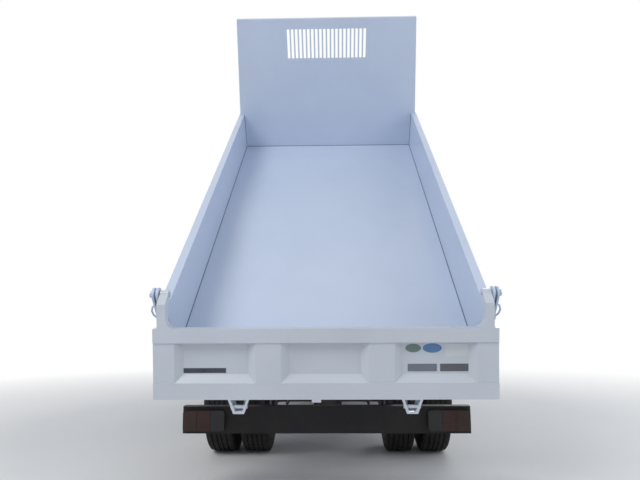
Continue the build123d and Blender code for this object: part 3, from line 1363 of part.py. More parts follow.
def all_nodes():
    single = {
        "frame_rails": frame_rails(),
        "cross_members": cross_members(),
        "subframe": subframe(),
        "front_axle": front_axle(),
        "rear_axle": rear_axle(),
        "leaf_springs": leaf_springs(),
        "tie_rod": tie_rod(),
        "engine_block": engine_block(),
        "driveline": driveline(),
        "fuel_tank": fuel_tank(),
        "battery_box": battery_box(),
        "exhaust": exhaust(),
        "mudguards": mudguards(),
        "front_bumper": front_bumper(),
        "headlamps": headlamps(),
        "rear_bumper": rear_bumper(),
        "tail_lamps": tail_lamps(),
        "cab_shell": cab_shell(),
        "cab_grille": cab_grille(),
        "cab_glass": cab_glass(),
        "dashboard": dashboard(),
        "steering_wheel": steering_wheel(),
        "seats": seats(),
        "mirrors": mirrors(),
        "bed_floor": tipped(bed_floor()),
        "bed_sills": tipped(bed_sills()),
        "bed_cross_beams": tipped(bed_cross_beams()),
        "headboard": tipped(headboard()),
        "tailgate": hung(tailgate()),
    }
    tyre, wheel = front_wheel()
    twin_tyres, twin_rims = rear_wheels()
    panel, glass = door()
    sided = {
        "knuckle": knuckle(),
        "front_rim": wheel,
        "front_tyre": tyre,
        "rear_rims": twin_rims,
        "rear_tyres": twin_tyres,
        "door": panel,
        "door_glass": glass,
        "bed_side": tipped(bed_side()),
    }
    nodes = dict(single)
    for name, shape in sided.items():
        nodes[f"{name}_right"] = shape
        nodes[f"{name}_left"] = other(shape)
    barrel, *stages, rod = hoist_ram()
    nodes["hoist_barrel"] = barrel
    for number, stage in enumerate(stages, 1):
        nodes[f"hoist_stage_{number}"] = stage
    nodes["hoist_rod"] = rod
    return nodes


def axis_points():
    """Where each joint turns, before the whole is set over its footprint."""
    gate_pin = (GATE_PIN_Y, GATE_PIN_Z)
    opening = gate_opening(tailgate())
    lock = tipped_point(turned((GATE_BACK_Y + 27, GATE_LOW - 16), gate_pin, -opening))
    return {
        "bed_tilt": (0, HINGE_Y, HINGE_Z),
        "tailgate_swing": (0, *tipped_point(gate_pin)),
        "hoist_swing": (0, *HOIST_FOOT),
        "cab_tilt": (0, CAB_PIVOT_Y, CAB_PIVOT_Z),
        "door_right": (DOOR_HINGE_X, DOOR_HINGE_Y, DOOR_HINGES[0]),
        "kingpin_right": (KINGPIN_X, WHEELBASE, TYRE_RADIUS),
        "tie_rod_right": (KINGPIN_X, WHEELBASE - STEERING_ARM, TYRE_RADIUS - TIE_ROD_DROP),
        "front_wheel_right": (FRONT_WHEEL_X, WHEELBASE, TYRE_RADIUS),
        "rear_wheels_right": (TWIN_OUTER_X - RIM_OFFSET, 0, TYRE_RADIUS),
        "rear_tow_eye": (0, *rear_tow_eye()),
        "front_tow_eye": (RAIL_WEB_X - 10, *front_tow_eye()),
        "lock_loop": (LOOP_X, *lock),
        "step": (STEP_X[0], STEP_BACK, STEP_LOW),
        "cab": (CAB_HALF, CAB_REAR_Y, FOOT_FLOOR),
    }


def main():
    nodes = all_nodes()
    whole = Compound(children=[Compound(shape.solids()) for shape in nodes.values()])
    box = whole.bounding_box()
    shift = Vector(-(box.min.X + box.max.X) / 2, -(box.min.Y + box.max.Y) / 2, -box.min.Z)
    os.makedirs("parts", exist_ok=True)
    for name, shape in nodes.items():
        export_step(Pos(shift.X, shift.Y, shift.Z) * Compound(shape.solids()), f"parts/{name}.step")
    print("size", *(round(value, 2) for value in box.size))
    print("shift", round(shift.X, 4), round(shift.Y, 4), round(shift.Z, 4))
    for name, point in axis_points().items():
        print("axis", name, *(round(a + b, 4) for a, b in zip(point, shift)))
    eye = tipped_point(HOIST_EYE)
    stroke = (ram_length(BED_TILT) - ram_length(0)) / RAM_STAGES
    print("stage_stroke", round(stroke, 4))
    print("ram_angle", round(degrees(atan2(eye[1] - HOIST_FOOT[1], eye[0] - HOIST_FOOT[0])), 4))
    print("gate_opening", round(gate_opening(tailgate()), 4))


main()
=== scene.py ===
import json
from math import atan2, cos, exp, hypot, pi, radians, sin

import bmesh
import bpy
from mathutils import Matrix, Vector
from mathutils.bvhtree import BVHTree


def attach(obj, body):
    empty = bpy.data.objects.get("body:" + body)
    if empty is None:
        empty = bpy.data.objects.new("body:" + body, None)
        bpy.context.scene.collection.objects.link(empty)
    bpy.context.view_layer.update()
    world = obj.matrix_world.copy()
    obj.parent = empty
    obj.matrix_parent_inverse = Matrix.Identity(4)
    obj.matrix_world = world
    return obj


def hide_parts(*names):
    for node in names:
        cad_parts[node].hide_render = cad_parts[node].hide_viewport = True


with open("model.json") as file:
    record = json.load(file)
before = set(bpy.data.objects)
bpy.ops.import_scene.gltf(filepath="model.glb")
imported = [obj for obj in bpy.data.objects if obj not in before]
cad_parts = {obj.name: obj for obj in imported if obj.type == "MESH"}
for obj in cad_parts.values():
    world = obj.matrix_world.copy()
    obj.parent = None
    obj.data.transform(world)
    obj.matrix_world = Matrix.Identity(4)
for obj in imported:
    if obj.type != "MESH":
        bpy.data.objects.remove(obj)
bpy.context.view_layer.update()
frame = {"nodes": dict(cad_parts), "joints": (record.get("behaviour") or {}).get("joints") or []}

# Frame: two pressed steel channels with cross members, the hoist's runners on top and leaf springs
# below. All of it is brushed with black chassis paint, which road dust has turned grey-brown.


def add(tree, kind, inputs=None, **settings):
    """A shader node. Each input takes a number, a colour or another node's output."""
    made = tree.nodes.new(kind)
    for name, value in settings.items():
        setattr(made, name, value)
    for socket, value in (inputs or {}).items():
        if isinstance(value, bpy.types.NodeSocket):
            tree.links.new(value, made.inputs[socket])
        else:
            made.inputs[socket].default_value = value
    return made


def shade_group(name, inputs):
    """An empty node group that shades a surface, with named sockets, and its two end nodes."""
    group = bpy.data.node_groups.new(name, "ShaderNodeTree")
    number, colour = "NodeSocketFloat", "NodeSocketColor"
    for label, start in inputs.items():
        kind = colour if isinstance(start, tuple) else number
        group.interface.new_socket(label, in_out="INPUT", socket_type=kind).default_value = start
    for label, kind in (("Colour", colour), ("Roughness", number), ("Height", number)):
        group.interface.new_socket(label, in_out="OUTPUT", socket_type=kind)
    return group, group.nodes.new("NodeGroupInput"), group.nodes.new("NodeGroupOutput")


def put_out(group, ends_out, **results):
    """Joins what a group has worked out to its named outputs."""
    for label, result in results.items():
        group.links.new(result, ends_out.inputs[label])


def object_place(tree):
    """The place on the surface, in the frame that all pieces share."""
    return add(tree, "ShaderNodeTexCoord").outputs["Object"]


def mixed(tree, share, first, second, blend="MIX"):
    """The colour between two colours, by a share from 0 to 1."""
    inputs = {0: share, 6: first, 7: second}
    return add(tree, "ShaderNodeMix", inputs, data_type="RGBA", blend_type=blend).outputs[2]


def between(tree, value, low, high, start=0.0, end=1.0):
    """A value spread from one range to another, and held at its ends."""
    inputs = {0: value, 1: low, 2: high, 3: start, 4: end}
    return add(tree, "ShaderNodeMapRange", inputs).outputs[0]


def noise(tree, place, scale, detail=4.0, rough=0.55):
    """Cloudy patches from 0 to 1, so many to the metre."""
    inputs = {"Vector": place, "Scale": scale, "Detail": detail, "Roughness": rough}
    return add(tree, "ShaderNodeTexNoise", inputs).outputs[0]


def arithmetic(tree, operation, first, second):
    return add(tree, "ShaderNodeMath", {0: first, 1: second}, operation=operation).outputs[0]


# A finish that names no dust of its own has road dust, up to a metre from the ground
weathered, ends_in, ends_out = shade_group("weathered_surface", {
    "Paint": (0.8, 0.8, 0.8, 1),
    "Dust": (0.21, 0.17, 0.125, 1),
    "Dust Amount": 0.3,
    "Dust Height": 1.0,
    "Clean Roughness": 0.3,
    "Grain": 300.0,
})
splash_level, dust_above, speck_dust = 0.05, 0.12, 0.18
dust_roughness = 0.45
darkest_tone, lightest_tone = 0.94, 1.03
place = object_place(weathered)
height = add(weathered, "ShaderNodeSeparateXYZ", {0: place}).outputs["Z"]
dust_top = ends_in.outputs["Dust Height"]
low_share = between(weathered, height, splash_level, dust_top, 1.0, dust_above)
patches = between(weathered, noise(weathered, place, 5.0, 6.0, 0.65), 0.36, 0.68)
specks = between(weathered, noise(weathered, place, 60.0, 3.0), 0.42, 0.75)
cover = arithmetic(weathered, "MULTIPLY", patches, low_share)
cover = arithmetic(weathered, "ADD", cover, arithmetic(weathered, "MULTIPLY", specks, speck_dust))
cover = arithmetic(weathered, "MULTIPLY", cover, ends_in.outputs["Dust Amount"])
tone = noise(weathered, place, 1.7, 2.0)
tone = between(weathered, tone, 0.3, 0.7, darkest_tone, lightest_tone)
toned = mixed(weathered, 1.0, ends_in.outputs["Paint"], tone, "MULTIPLY")
rougher = arithmetic(weathered, "MULTIPLY", cover, dust_roughness)
put_out(
    weathered, ends_out,
    Colour=mixed(weathered, cover, toned, ends_in.outputs["Dust"]),
    Roughness=arithmetic(weathered, "ADD", ends_in.outputs["Clean Roughness"], rougher),
    Height=noise(weathered, place, ends_in.outputs["Grain"], 2.0),
)


def bare_material(name, sockets):
    """A material, its node tree and its shader, with plain numbers on some of its sockets."""
    made = bpy.data.materials.new(name)
    made.use_nodes = True
    shader = made.node_tree.nodes["Principled BSDF"]
    for label, value in sockets.items():
        shader.inputs[label].default_value = value
    return made, made.node_tree, shader


def finish(name, metallic=0.0, coat=0.0, coat_rough=0.1, bump=0.0001, strength=0.5, gloss=0.5,
           group=weathered, **values):
    """A material whose colour, roughness and bump come from a group with the given values."""
    made, tree, shader = bare_material(name, {
        "Metallic": metallic,
        "Coat Weight": coat,
        "Coat Roughness": coat_rough,
        "Specular IOR Level": gloss,
    })
    inputs = {label.replace("_", " "): value for label, value in values.items()}
    surface = add(tree, "ShaderNodeGroup", inputs, node_tree=group).outputs
    tree.links.new(surface["Colour"], shader.inputs["Base Color"])
    tree.links.new(surface["Roughness"], shader.inputs["Roughness"])
    relief = {"Strength": strength, "Distance": bump, "Height": surface["Height"]}
    tree.links.new(add(tree, "ShaderNodeBump", relief).outputs["Normal"], shader.inputs["Normal"])
    return made


def dress(material, *nodes):
    """Gives CAD nodes their material."""
    for name in nodes:
        mesh = frame["nodes"][name].data
        mesh.materials.clear()
        mesh.materials.append(material)


chassis_black = finish(
    "chassis_black", bump=0.0004, Paint=(0.018, 0.019, 0.021, 1), Dust_Height=0.8,
    Clean_Roughness=0.42, Grain=140.0,
)
dress(chassis_black, "frame_rails", "cross_members", "subframe", "leaf_springs")

# Fixings on the frame: bolts through the rails' webs at the cross members, and two U-bolts that
# clamp each spring to its axle, with nuts below. They are plated, and brown at the threads.
fixing_steel = finish(
    "fixing_steel", metallic=0.7, bump=0.0002, Paint=(0.2, 0.19, 0.175, 1),
    Dust=(0.13, 0.085, 0.05, 1), Dust_Amount=0.6, Dust_Height=1.2, Clean_Roughness=0.45,
)


def made_piece(name, mesh, material, body, crisp_over=30):
    """A finished mesh as a piece of its body, with edges sharper than the angle kept crisp."""
    data = bpy.data.meshes.new(name)
    mesh.to_mesh(data)
    mesh.free()
    data.materials.append(material)
    data.shade_smooth()
    data.set_sharp_from_angle(angle=radians(crisp_over))
    piece = bpy.data.objects.new(name, data)
    bpy.context.scene.collection.objects.link(piece)
    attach(piece, body)
    return piece


def pointing(direction):
    """The turn that brings a piece's own Z to a direction."""
    return Vector(direction).to_track_quat("Z", "Y").to_matrix().to_4x4()


def turned_piece(mesh, matrix, low, high, length, segments):
    """A closed cone or disc along its own Z, from its low radius to its high one."""
    made = bmesh.ops.create_cone(
        mesh, cap_ends=True, segments=segments, radius1=low, radius2=high, depth=length,
        matrix=matrix,
    )
    return made["verts"]


def eased(mesh, edges, width, segments):
    """Rounds edges off, or chamfers them with one segment."""
    bmesh.ops.bevel(
        mesh, geom=edges, offset=width, segments=segments, profile=0.5, affect="EDGES", material=-1
    )


nut_chamfer, stud_foot, stud_tip = 0.18, 0.27, 0.22


def hex_nut(mesh, middle, toward, size):
    """A chamfered nut on a face: across its corners, thick, and how far its stud stands out."""
    across, thick, stud = size
    seat = Matrix.Translation(middle) @ pointing(toward)
    lifted = seat @ Matrix.Translation((0, 0, thick / 2))
    nut = turned_piece(mesh, lifted, across / 2, across / 2, thick, 6)
    rim = dict.fromkeys(edge for vert in nut for edge in vert.link_edges)
    unseated = seat.inverted()
    top = [edge for edge in rim if all((unseated @ vert.co).z > thick * 0.9 for vert in edge.verts)]
    eased(mesh, top, thick * nut_chamfer, 1)
    lifted = seat @ Matrix.Translation((0, 0, thick + stud / 2))
    turned_piece(mesh, lifted, across * stud_foot, across * stud_tip, stud, 10)


def bent_rod(mesh, points, radius, eased_bends=True):
    """A round rod through a few points, closed at its ends, with its bends eased or sharp."""
    line = bpy.data.curves.new("bent_rod", "CURVE")
    line.dimensions = "3D"
    line.bevel_depth = radius
    line.bevel_resolution = 2
    line.use_fill_caps = True
    run = line.splines.new("NURBS" if eased_bends else "POLY")
    run.points.add(len(points) - 1)
    for knot, place in zip(run.points, points):
        knot.co = (*place, 1)
    if eased_bends:
        run.order_u = 3
        run.use_endpoint_u = True
        run.resolution_u = 6
    carrier = bpy.data.objects.new("bent_rod", line)
    data = bpy.data.meshes.new_from_object(carrier)
    mesh.from_mesh(data)
    bpy.data.objects.remove(carrier)
    bpy.data.curves.remove(line)
    bpy.data.meshes.remove(data)


web_bolt, clamp_nut = (0.021, 0.009, 0.004), (0.022, 0.010, 0.004)
rail_face = 0.350
bolt_stations, bolt_levels = (-1.8633, -1.4583, -0.4283, 2.1217), (0.585, 0.617)
clamp_half, clamp_inner, clamp_outer, clamp_radius = 0.042, 0.281, 0.359, 0.006
clamp_foot, clamp_nut_level = 0.300, 0.318
fixings = bmesh.new()
for sign in (-1, 1):
    for station in bolt_stations:
        for level in bolt_levels:
            hex_nut(fixings, (sign * rail_face, station, level), (sign, 0, 0), web_bolt)
    # Each axle's station and the level of its spring's top
    for axle_y, spring_top in ((-1.1283, 0.474), (1.3717, 0.439)):
        for bolt_y in (axle_y - clamp_half, axle_y + clamp_half):
            inner, outer = sign * clamp_inner, sign * clamp_outer
            legs = [
                (inner, bolt_y, clamp_foot), (inner, bolt_y, spring_top),
                (outer, bolt_y, spring_top), (outer, bolt_y, clamp_foot),
            ]
            bent_rod(fixings, legs, clamp_radius)
            for leg in (inner, outer):
                hex_nut(fixings, (leg, bolt_y, clamp_nut_level), (0, 0, -1), clamp_nut)
made_piece("frame_fixings", fixings, fixing_steel, "chassis")

# Axles, steering and driveline: sand-cast and forged parts, left rough under a thin black wash.
# Grease and dust give them a mottled brown-grey.
raw_casting = finish(
    "raw_casting", bump=0.0012, strength=0.8, Paint=(0.045, 0.042, 0.04, 1),
    Dust=(0.16, 0.115, 0.075, 1), Dust_Amount=0.5, Dust_Height=1.1, Clean_Roughness=0.58,
    Grain=220.0,
)
dress(
    raw_casting, "front_axle", "rear_axle", "knuckle_left", "knuckle_right", "tie_rod",
    "engine_block", "driveline",
)

# Fuel tank, battery box, mudguards and silencer: a welded tank in chassis black on two straps,
# black mouldings over the battery and the rear tyres, and an aluminised steel silencer that heat
# has dulled to straw and grey.
dress(chassis_black, "fuel_tank")
moulded_black = finish(
    "moulded_black", bump=0.0003, Paint=(0.022, 0.022, 0.024, 1), Clean_Roughness=0.55, Grain=900.0
)
dress(moulded_black, "battery_box", "mudguards")
heated_steel = finish(
    "heated_steel", metallic=0.85, bump=0.0003, Paint=(0.36, 0.33, 0.29, 1),
    Dust=(0.17, 0.1, 0.055, 1), Dust_Amount=0.7, Dust_Height=1.2, Clean_Roughness=0.42, Grain=160.0,
)
dress(heated_steel, "exhaust")

# Front bumper and headlamps: a bowed steel bar in body white, with ribbed lamp units set in it. The
# outer third of each lamp is the amber turn lamp. A chromed bowl and a bulb stand behind the rest.
cab_white = finish(
    "cab_white", coat=0.7, coat_rough=0.06, bump=0.00006, strength=0.25,
    Paint=(0.68, 0.72, 0.77, 1), Dust=(0.42, 0.37, 0.31, 1), Dust_Amount=0.22, Dust_Height=0.8,
    Clean_Roughness=0.24, Grain=420.0,
)
dress(cab_white, "front_bumper")

lens_ribs, ends_in, ends_out = shade_group("lens_ribs", {
    "Inner": (0.9, 0.9, 0.9, 1),
    "Middle": (0.9, 0.9, 0.9, 1),
    "Outer": (0.9, 0.4, 0.05, 1),
    "First Seam": 0.6,
    "Second Seam": 0.7,
    "Rib Pitch": 0.01,
    "Grime": 0.16,
})
grime_colour, lens_roughness = (0.3, 0.26, 0.22, 1), 0.08
place = object_place(lens_ribs)
sideways = add(lens_ribs, "ShaderNodeSeparateXYZ", {0: place}).outputs["X"]
side = arithmetic(lens_ribs, "ABSOLUTE", sideways, 0.0)
past_first = arithmetic(lens_ribs, "GREATER_THAN", side, ends_in.outputs["First Seam"])
past_second = arithmetic(lens_ribs, "GREATER_THAN", side, ends_in.outputs["Second Seam"])
field = mixed(lens_ribs, past_first, ends_in.outputs["Inner"], ends_in.outputs["Middle"])
field = mixed(lens_ribs, past_second, field, ends_in.outputs["Outer"])
grime = between(lens_ribs, noise(lens_ribs, place, 9.0, 5.0), 0.4, 0.75)
grime = arithmetic(lens_ribs, "MULTIPLY", grime, ends_in.outputs["Grime"])
turns = arithmetic(lens_ribs, "DIVIDE", side, ends_in.outputs["Rib Pitch"])
put_out(
    lens_ribs, ends_out,
    Colour=mixed(lens_ribs, grime, field, grime_colour),
    Roughness=arithmetic(lens_ribs, "ADD", grime, lens_roughness),
    Height=arithmetic(lens_ribs, "PINGPONG", turns, 0.5),
)
lamp_chrome = finish(
    "lamp_chrome", metallic=1.0, bump=0.00003, strength=0.2, Paint=(0.75, 0.76, 0.78, 1),
    Dust=(0.3, 0.29, 0.28, 1), Dust_Amount=0.1, Clean_Roughness=0.1, Grain=200.0,
)
amber = (0.75, 0.24, 0.02, 1)
amber_lens = finish(
    "amber_lens", coat=1.0, coat_rough=0.03, bump=0.002, strength=0.7, group=lens_ribs,
    Inner=amber, Middle=amber, Outer=amber, Rib_Pitch=0.009, Grime=0.06,
)
clear_lens, tree, shader = bare_material(
    "clear_lens", {"Transmission Weight": 1.0, "Roughness": 0.02, "IOR": 1.4}
)
ribs = add(tree, "ShaderNodeGroup", {"Rib Pitch": 0.02}, node_tree=lens_ribs).outputs["Height"]
relief = add(tree, "ShaderNodeBump", {"Strength": 0.25, "Distance": 0.002, "Height": ribs})
tree.links.new(relief.outputs["Normal"], shader.inputs["Normal"])
haze = between(tree, noise(tree, object_place(tree), 12.0), 0.4, 0.8)
lens_colour = mixed(tree, haze, (0.95, 0.97, 0.98, 1), (0.86, 0.87, 0.87, 1))
tree.links.new(lens_colour, shader.inputs["Base Color"])

lens_thick, shell_thick = 0.003, 0.0015
front_slope, turn_lamp_from = 0.25, 0.706
weld = 0.00005


def lamp_part(name, material, keep, thick):
    """The faces of the lamp units that a test keeps, as a wall that grows inward."""
    mesh = bmesh.new()
    mesh.from_mesh(frame["nodes"]["headlamps"].data)
    bmesh.ops.remove_doubles(mesh, verts=mesh.verts, dist=weld)
    mesh.normal_update()
    dropped = [face for face in mesh.faces if not keep(face)]
    bmesh.ops.delete(mesh, geom=dropped, context="FACES")
    bmesh.ops.solidify(mesh, geom=mesh.faces[:], thickness=thick)
    return made_piece(name, mesh, material, "chassis")


def is_front(face):
    return face.normal.y > front_slope


def is_turn_lamp(face):
    return is_front(face) and abs(face.calc_center_median().x) > turn_lamp_from


def is_main_lens(face):
    return is_front(face) and not is_turn_lamp(face)


lamp_part("headlamp_clear_lenses", clear_lens, is_main_lens, lens_thick)
lamp_part("turn_lamp_lenses", amber_lens, is_turn_lamp, lens_thick)
shells = lamp_part("headlamp_shells", lamp_chrome, lambda face: not is_front(face), shell_thick)
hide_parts("headlamps")


def knob(mesh, middle, radii, around=24, over=12):
    """A ball, or a ball drawn out or pressed flat along the axes."""
    bmesh.ops.create_uvsphere(
        mesh, u_segments=around, v_segments=over, radius=1.0,
        matrix=Matrix.Translation(middle) @ Matrix.Diagonal((*radii, 1)),
    )


bowl_x, bowl_back, bowl_level = 0.612, 2.368, 0.495
bulb_ahead, bulb_radii = 0.014, (0.011, 0.0165, 0.011)
# The bowl's section from its bulb hole to its rolled rim: distance out, and distance forward
bowl_section = (
    (0.012, 0.002), (0.026, 0.007), (0.040, 0.017), (0.052, 0.032), (0.057, 0.040), (0.060, 0.038),
)
bowls = bmesh.new()
for sign in (-1, 1):
    middle = Vector((sign * bowl_x, bowl_back, bowl_level))
    line = [bowls.verts.new(middle + Vector((0, forward, out))) for out, forward in bowl_section]
    edges = [bowls.edges.new(pair) for pair in zip(line, line[1:])]
    bmesh.ops.spin(
        bowls, geom=line + edges, cent=middle, axis=(0, 1, 0), dvec=(0, 0, 0), angle=2 * pi,
        steps=32, use_merge=True, use_duplicate=False,
    )
    knob(bowls, middle + Vector((0, bulb_ahead, 0)), bulb_radii, 14, 8)
bmesh.ops.recalc_face_normals(bowls, faces=bowls.faces)
made_piece("headlamp_bowls", bowls, lamp_chrome, "chassis", crisp_over=60)

# Rear bumper and tail lamps: a plain bar in clean black paint on drop brackets, with a lamp unit at
# each end. Each unit has a clear, a red and an amber field, all of them darkened nearly black as
# painted shade.
bumper_black = finish(
    "bumper_black", gloss=0.22, bump=0.0003, Paint=(0.011, 0.0105, 0.012, 1),
    Dust_Amount=0.07, Dust_Height=0.9, Clean_Roughness=0.5, Grain=180.0,
)
dress(bumper_black, "rear_bumper")
# The lenses' three colours are darkened close to black: painted shade.
tail_lens_painted_shade = finish(
    "tail_lens_painted_shade", gloss=0.3, coat=0.15, coat_rough=0.2, bump=0.0012, strength=0.6, group=lens_ribs,
    Inner=(0.012, 0.014, 0.015, 1), Middle=(0.030, 0.005, 0.006, 1), Outer=(0.026, 0.009, 0.005, 1),
    First_Seam=0.6107, Second_Seam=0.683, Rib_Pitch=0.008, Grime=0.03,
)
dress(tail_lens_painted_shade, "tail_lamps")

# Wheels: pressed steel rims in silver paint, six nuts to each, and ribbed highway tyres. The tread
# has four zigzag grooves and notched shoulders, and the walls have a scuff ring.
rim_silver = finish(
    "rim_silver", metallic=0.35, coat=0.2, bump=0.0002, Paint=(0.5, 0.51, 0.52, 1),
    Dust=(0.16, 0.12, 0.09, 1), Dust_Amount=0.62, Dust_Height=1.2, Clean_Roughness=0.34,
    Grain=260.0,
)
dress(rim_silver, "front_rim_left", "front_rim_right", "rear_rims_left", "rear_rims_right")
tyre_black = finish(
    "tyre_black", gloss=0.25, bump=0.0005, strength=0.6, Paint=(0.011, 0.011, 0.012, 1),
    Dust=(0.1, 0.085, 0.068, 1), Dust_Amount=0.2, Dust_Height=0.9, Clean_Roughness=0.68,
    Grain=380.0,
)
tyre_radius = 0.369
groove_floor = tyre_radius - 0.0095
tread_steps = 96
tread_from, outer_groove = 0.35, 0.0505
zigzag = 0.0022
notch_from, notch_to, notch_depth = 0.0751, 0.0805, 0.0075
# Half a tyre's section, from the bead to the tread's middle: distance across, and radius
half_section = [
    (0.0662, 0.2055), (0.0668, 0.2190), (0.0770, 0.2280), (0.0880, 0.2460), (0.0945, 0.2660),
    (0.0968, 0.2850), (0.0966, 0.3000), (0.0974, 0.3020), (0.0974, 0.3060), (0.0960, 0.3080),
    (0.0935, 0.3300), (0.0895, 0.3480), (0.0868, 0.3565), (0.0800, 0.3655), (0.0752, 0.3688),
]
for groove in (0.0500, 0.0180):
    half_section += [(groove, tyre_radius), (groove - 0.0014, groove_floor)]
    half_section += [(groove - 0.0054, groove_floor), (groove - 0.0068, tyre_radius)]


def ribbed_tyre(x, y):
    """One tyre, spun from its section, with zigzag grooves and notches along both shoulders."""
    tyre = bmesh.new()
    section = half_section + [(-across, radius) for across, radius in reversed(half_section)]
    line = [tyre.verts.new((x + across, y, tyre_radius + radius)) for across, radius in section]
    edges = [tyre.edges.new(pair) for pair in zip(line, line[1:] + line[:1])]
    bmesh.ops.spin(
        tyre, geom=line + edges, cent=(x, y, tyre_radius), axis=(1, 0, 0), dvec=(0, 0, 0),
        angle=2 * pi, steps=tread_steps, use_merge=True, use_duplicate=False,
    )
    for vert in tyre.verts:
        across, back, up = vert.co - Vector((x, y, tyre_radius))
        radius = hypot(up, back)
        step = round(atan2(back, up) / (2 * pi / tread_steps)) % tread_steps
        if radius < tread_from:
            continue
        if abs(across) < outer_groove:
            vert.co.x += zigzag if step % 2 else -zigzag
        elif step % 4 == 0 and notch_from < abs(across) < notch_to:
            sunk = (radius - notch_depth) / radius
            vert.co.y = y + back * sunk
            vert.co.z = tyre_radius + up * sunk
    data = bpy.data.meshes.new("ribbed_tyre")
    tyre.to_mesh(data)
    tyre.free()
    return data


nut_count, nut_circle, wheel_nut = 6, 0.1, (0.032, 0.016, 0.008)
joints = {joint["name"]: joint for joint in frame["joints"]}
# Each axle, the ending of its names, the tyres' offsets from the hub's point, and the nuts' face
axles = (("front", "", (0.0,), 0.115), ("rear", "s", (0.115, -0.115), 0.010))
for side_name, sign in (("left", -1), ("right", 1)):
    for axle, plural, offsets, nut_face in axles:
        hub = Vector(joints[f"{axle}_{side_name}_spin"]["pos_m"])
        body = f"{axle}_wheel{plural}_{side_name}"
        tyres = bmesh.new()
        for offset in offsets:
            one = ribbed_tyre(hub.x + offset, hub.y)
            tyres.from_mesh(one)
            bpy.data.meshes.remove(one)
        bmesh.ops.recalc_face_normals(tyres, faces=tyres.faces)
        node = f"{axle}_tyre{plural}_{side_name}"
        piece = made_piece(f"ribbed_{node}", tyres, tyre_black, body, crisp_over=24)
        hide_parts(node)
        nuts = bmesh.new()
        for turn in range(nut_count):
            angle = turn * 2 * pi / nut_count
            spot = hub + Vector((sign * nut_face, nut_circle * cos(angle), nut_circle * sin(angle)))
            hex_nut(nuts, spot, (sign, 0, 0), wheel_nut)
        made_piece(f"{axle}_wheel_nuts_{side_name}", nuts, heated_steel, body)

# Cab: spot-welded steel panels in glossy body white over a black grille, with rubber seals round
# every pane. The doors are of the same panels, hung on two outside hinges.
dress(cab_white, "cab_shell", "door_left", "door_right")
dress(moulded_black, "cab_grille")

pane_glass, tree, shader = bare_material("pane_glass", {"Transmission Weight": 1.0, "IOR": 1.45})
film = noise(tree, object_place(tree), 6.0, 5.0)
tint = mixed(tree, between(tree, film, 0.4, 0.8), (0.80, 0.88, 0.86, 1), (0.70, 0.74, 0.72, 1))
tree.links.new(tint, shader.inputs["Base Color"])
tree.links.new(between(tree, film, 0.4, 0.8, 0.01, 0.06), shader.inputs["Roughness"])
dress(pane_glass, "cab_glass", "door_glass_left", "door_glass_right")

seal_rubber = finish(
    "seal_rubber", bump=0.0002, Paint=(0.02, 0.02, 0.021, 1), Dust_Amount=0.15,
    Clean_Roughness=0.6, Grain=500.0,
)
pane_corner = radians(50)


def seal_round(name, node, body, radius):
    """A rubber bead along the sharp edges of a pane, where the panel holds it."""
    pane = bmesh.new()
    pane.from_mesh(frame["nodes"][node].data)
    bmesh.ops.remove_doubles(pane, verts=pane.verts, dist=weld)
    smooth = [edge for edge in pane.edges if edge.calc_face_angle(0.0) < pane_corner]
    bmesh.ops.delete(pane, geom=smooth, context="EDGES_FACES")
    loose = [vert for vert in pane.verts if not vert.link_edges]
    bmesh.ops.delete(pane, geom=loose, context="VERTS")
    outline = bpy.data.meshes.new(name)
    pane.to_mesh(outline)
    pane.free()
    bead = bpy.data.objects.new(name, outline)
    bpy.context.scene.collection.objects.link(bead)
    bpy.ops.object.select_all(action="DESELECT")
    bead.select_set(True)
    bpy.context.view_layer.objects.active = bead
    bpy.ops.object.convert(target="CURVE")
    bead.data.bevel_depth = radius
    bead.data.bevel_resolution = 2
    bpy.ops.object.convert(target="MESH")
    bead.data.materials.clear()
    bead.data.materials.append(seal_rubber)
    bead.data.shade_smooth()
    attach(bead, body)


seal_round("cab_window_seals", "cab_glass", "cab", 0.009)
seal_round("door_window_seal_left", "door_glass_left", "door_left", 0.007)
seal_round("door_window_seal_right", "door_glass_right", "door_right", 0.007)

# Trim on the cab: a louvred black strip under the screen, two wipers, gutters over the doors, side
# turn lamps, a seam round the front panel, and black door grips with their locks. The strip, the
# gutters and the seam follow the panels they are fixed to.
clear_ahead, clear_beside = 3.0, 1.5
panel_of = {}
for name in ("cab_shell", "cab_glass", "door_right"):
    form = bmesh.new()
    form.from_mesh(frame["nodes"][name].data)
    panel_of[name] = BVHTree.FromBMesh(form)
    form.free()


def ahead_of(name, x, z, proud=0.0):
    """The point on the front of a panel at a width and a level, moved forward."""
    hit = panel_of[name].ray_cast(Vector((x, clear_ahead, z)), Vector((0, -1, 0)))[0]
    return Vector((x, hit.y + proud, z))


def beside(name, y, z, proud=0.0):
    """The point on the right of a panel at a station and a level, moved outward."""
    hit = panel_of[name].ray_cast(Vector((clear_beside, y, z)), Vector((-1, 0, 0)))[0]
    return Vector((hit.x + proud, y, z))


def both_sides(mesh):
    """Adds the mirror image of a mesh on the other side of the truck."""
    copied = bmesh.ops.duplicate(mesh, geom=mesh.verts[:] + mesh.edges[:] + mesh.faces[:])["geom"]
    mirrored = [item for item in copied if isinstance(item, bmesh.types.BMVert)]
    bmesh.ops.scale(mesh, vec=(-1, 1, 1), verts=mirrored)
    turned = [item for item in copied if isinstance(item, bmesh.types.BMFace)]
    bmesh.ops.reverse_faces(mesh, faces=turned)


def slab(mesh, matrix, size):
    """A square-edged block about a point, turned with its matrix."""
    bmesh.ops.create_cube(mesh, size=1.0, matrix=matrix @ Matrix.Diagonal((*size, 1)))


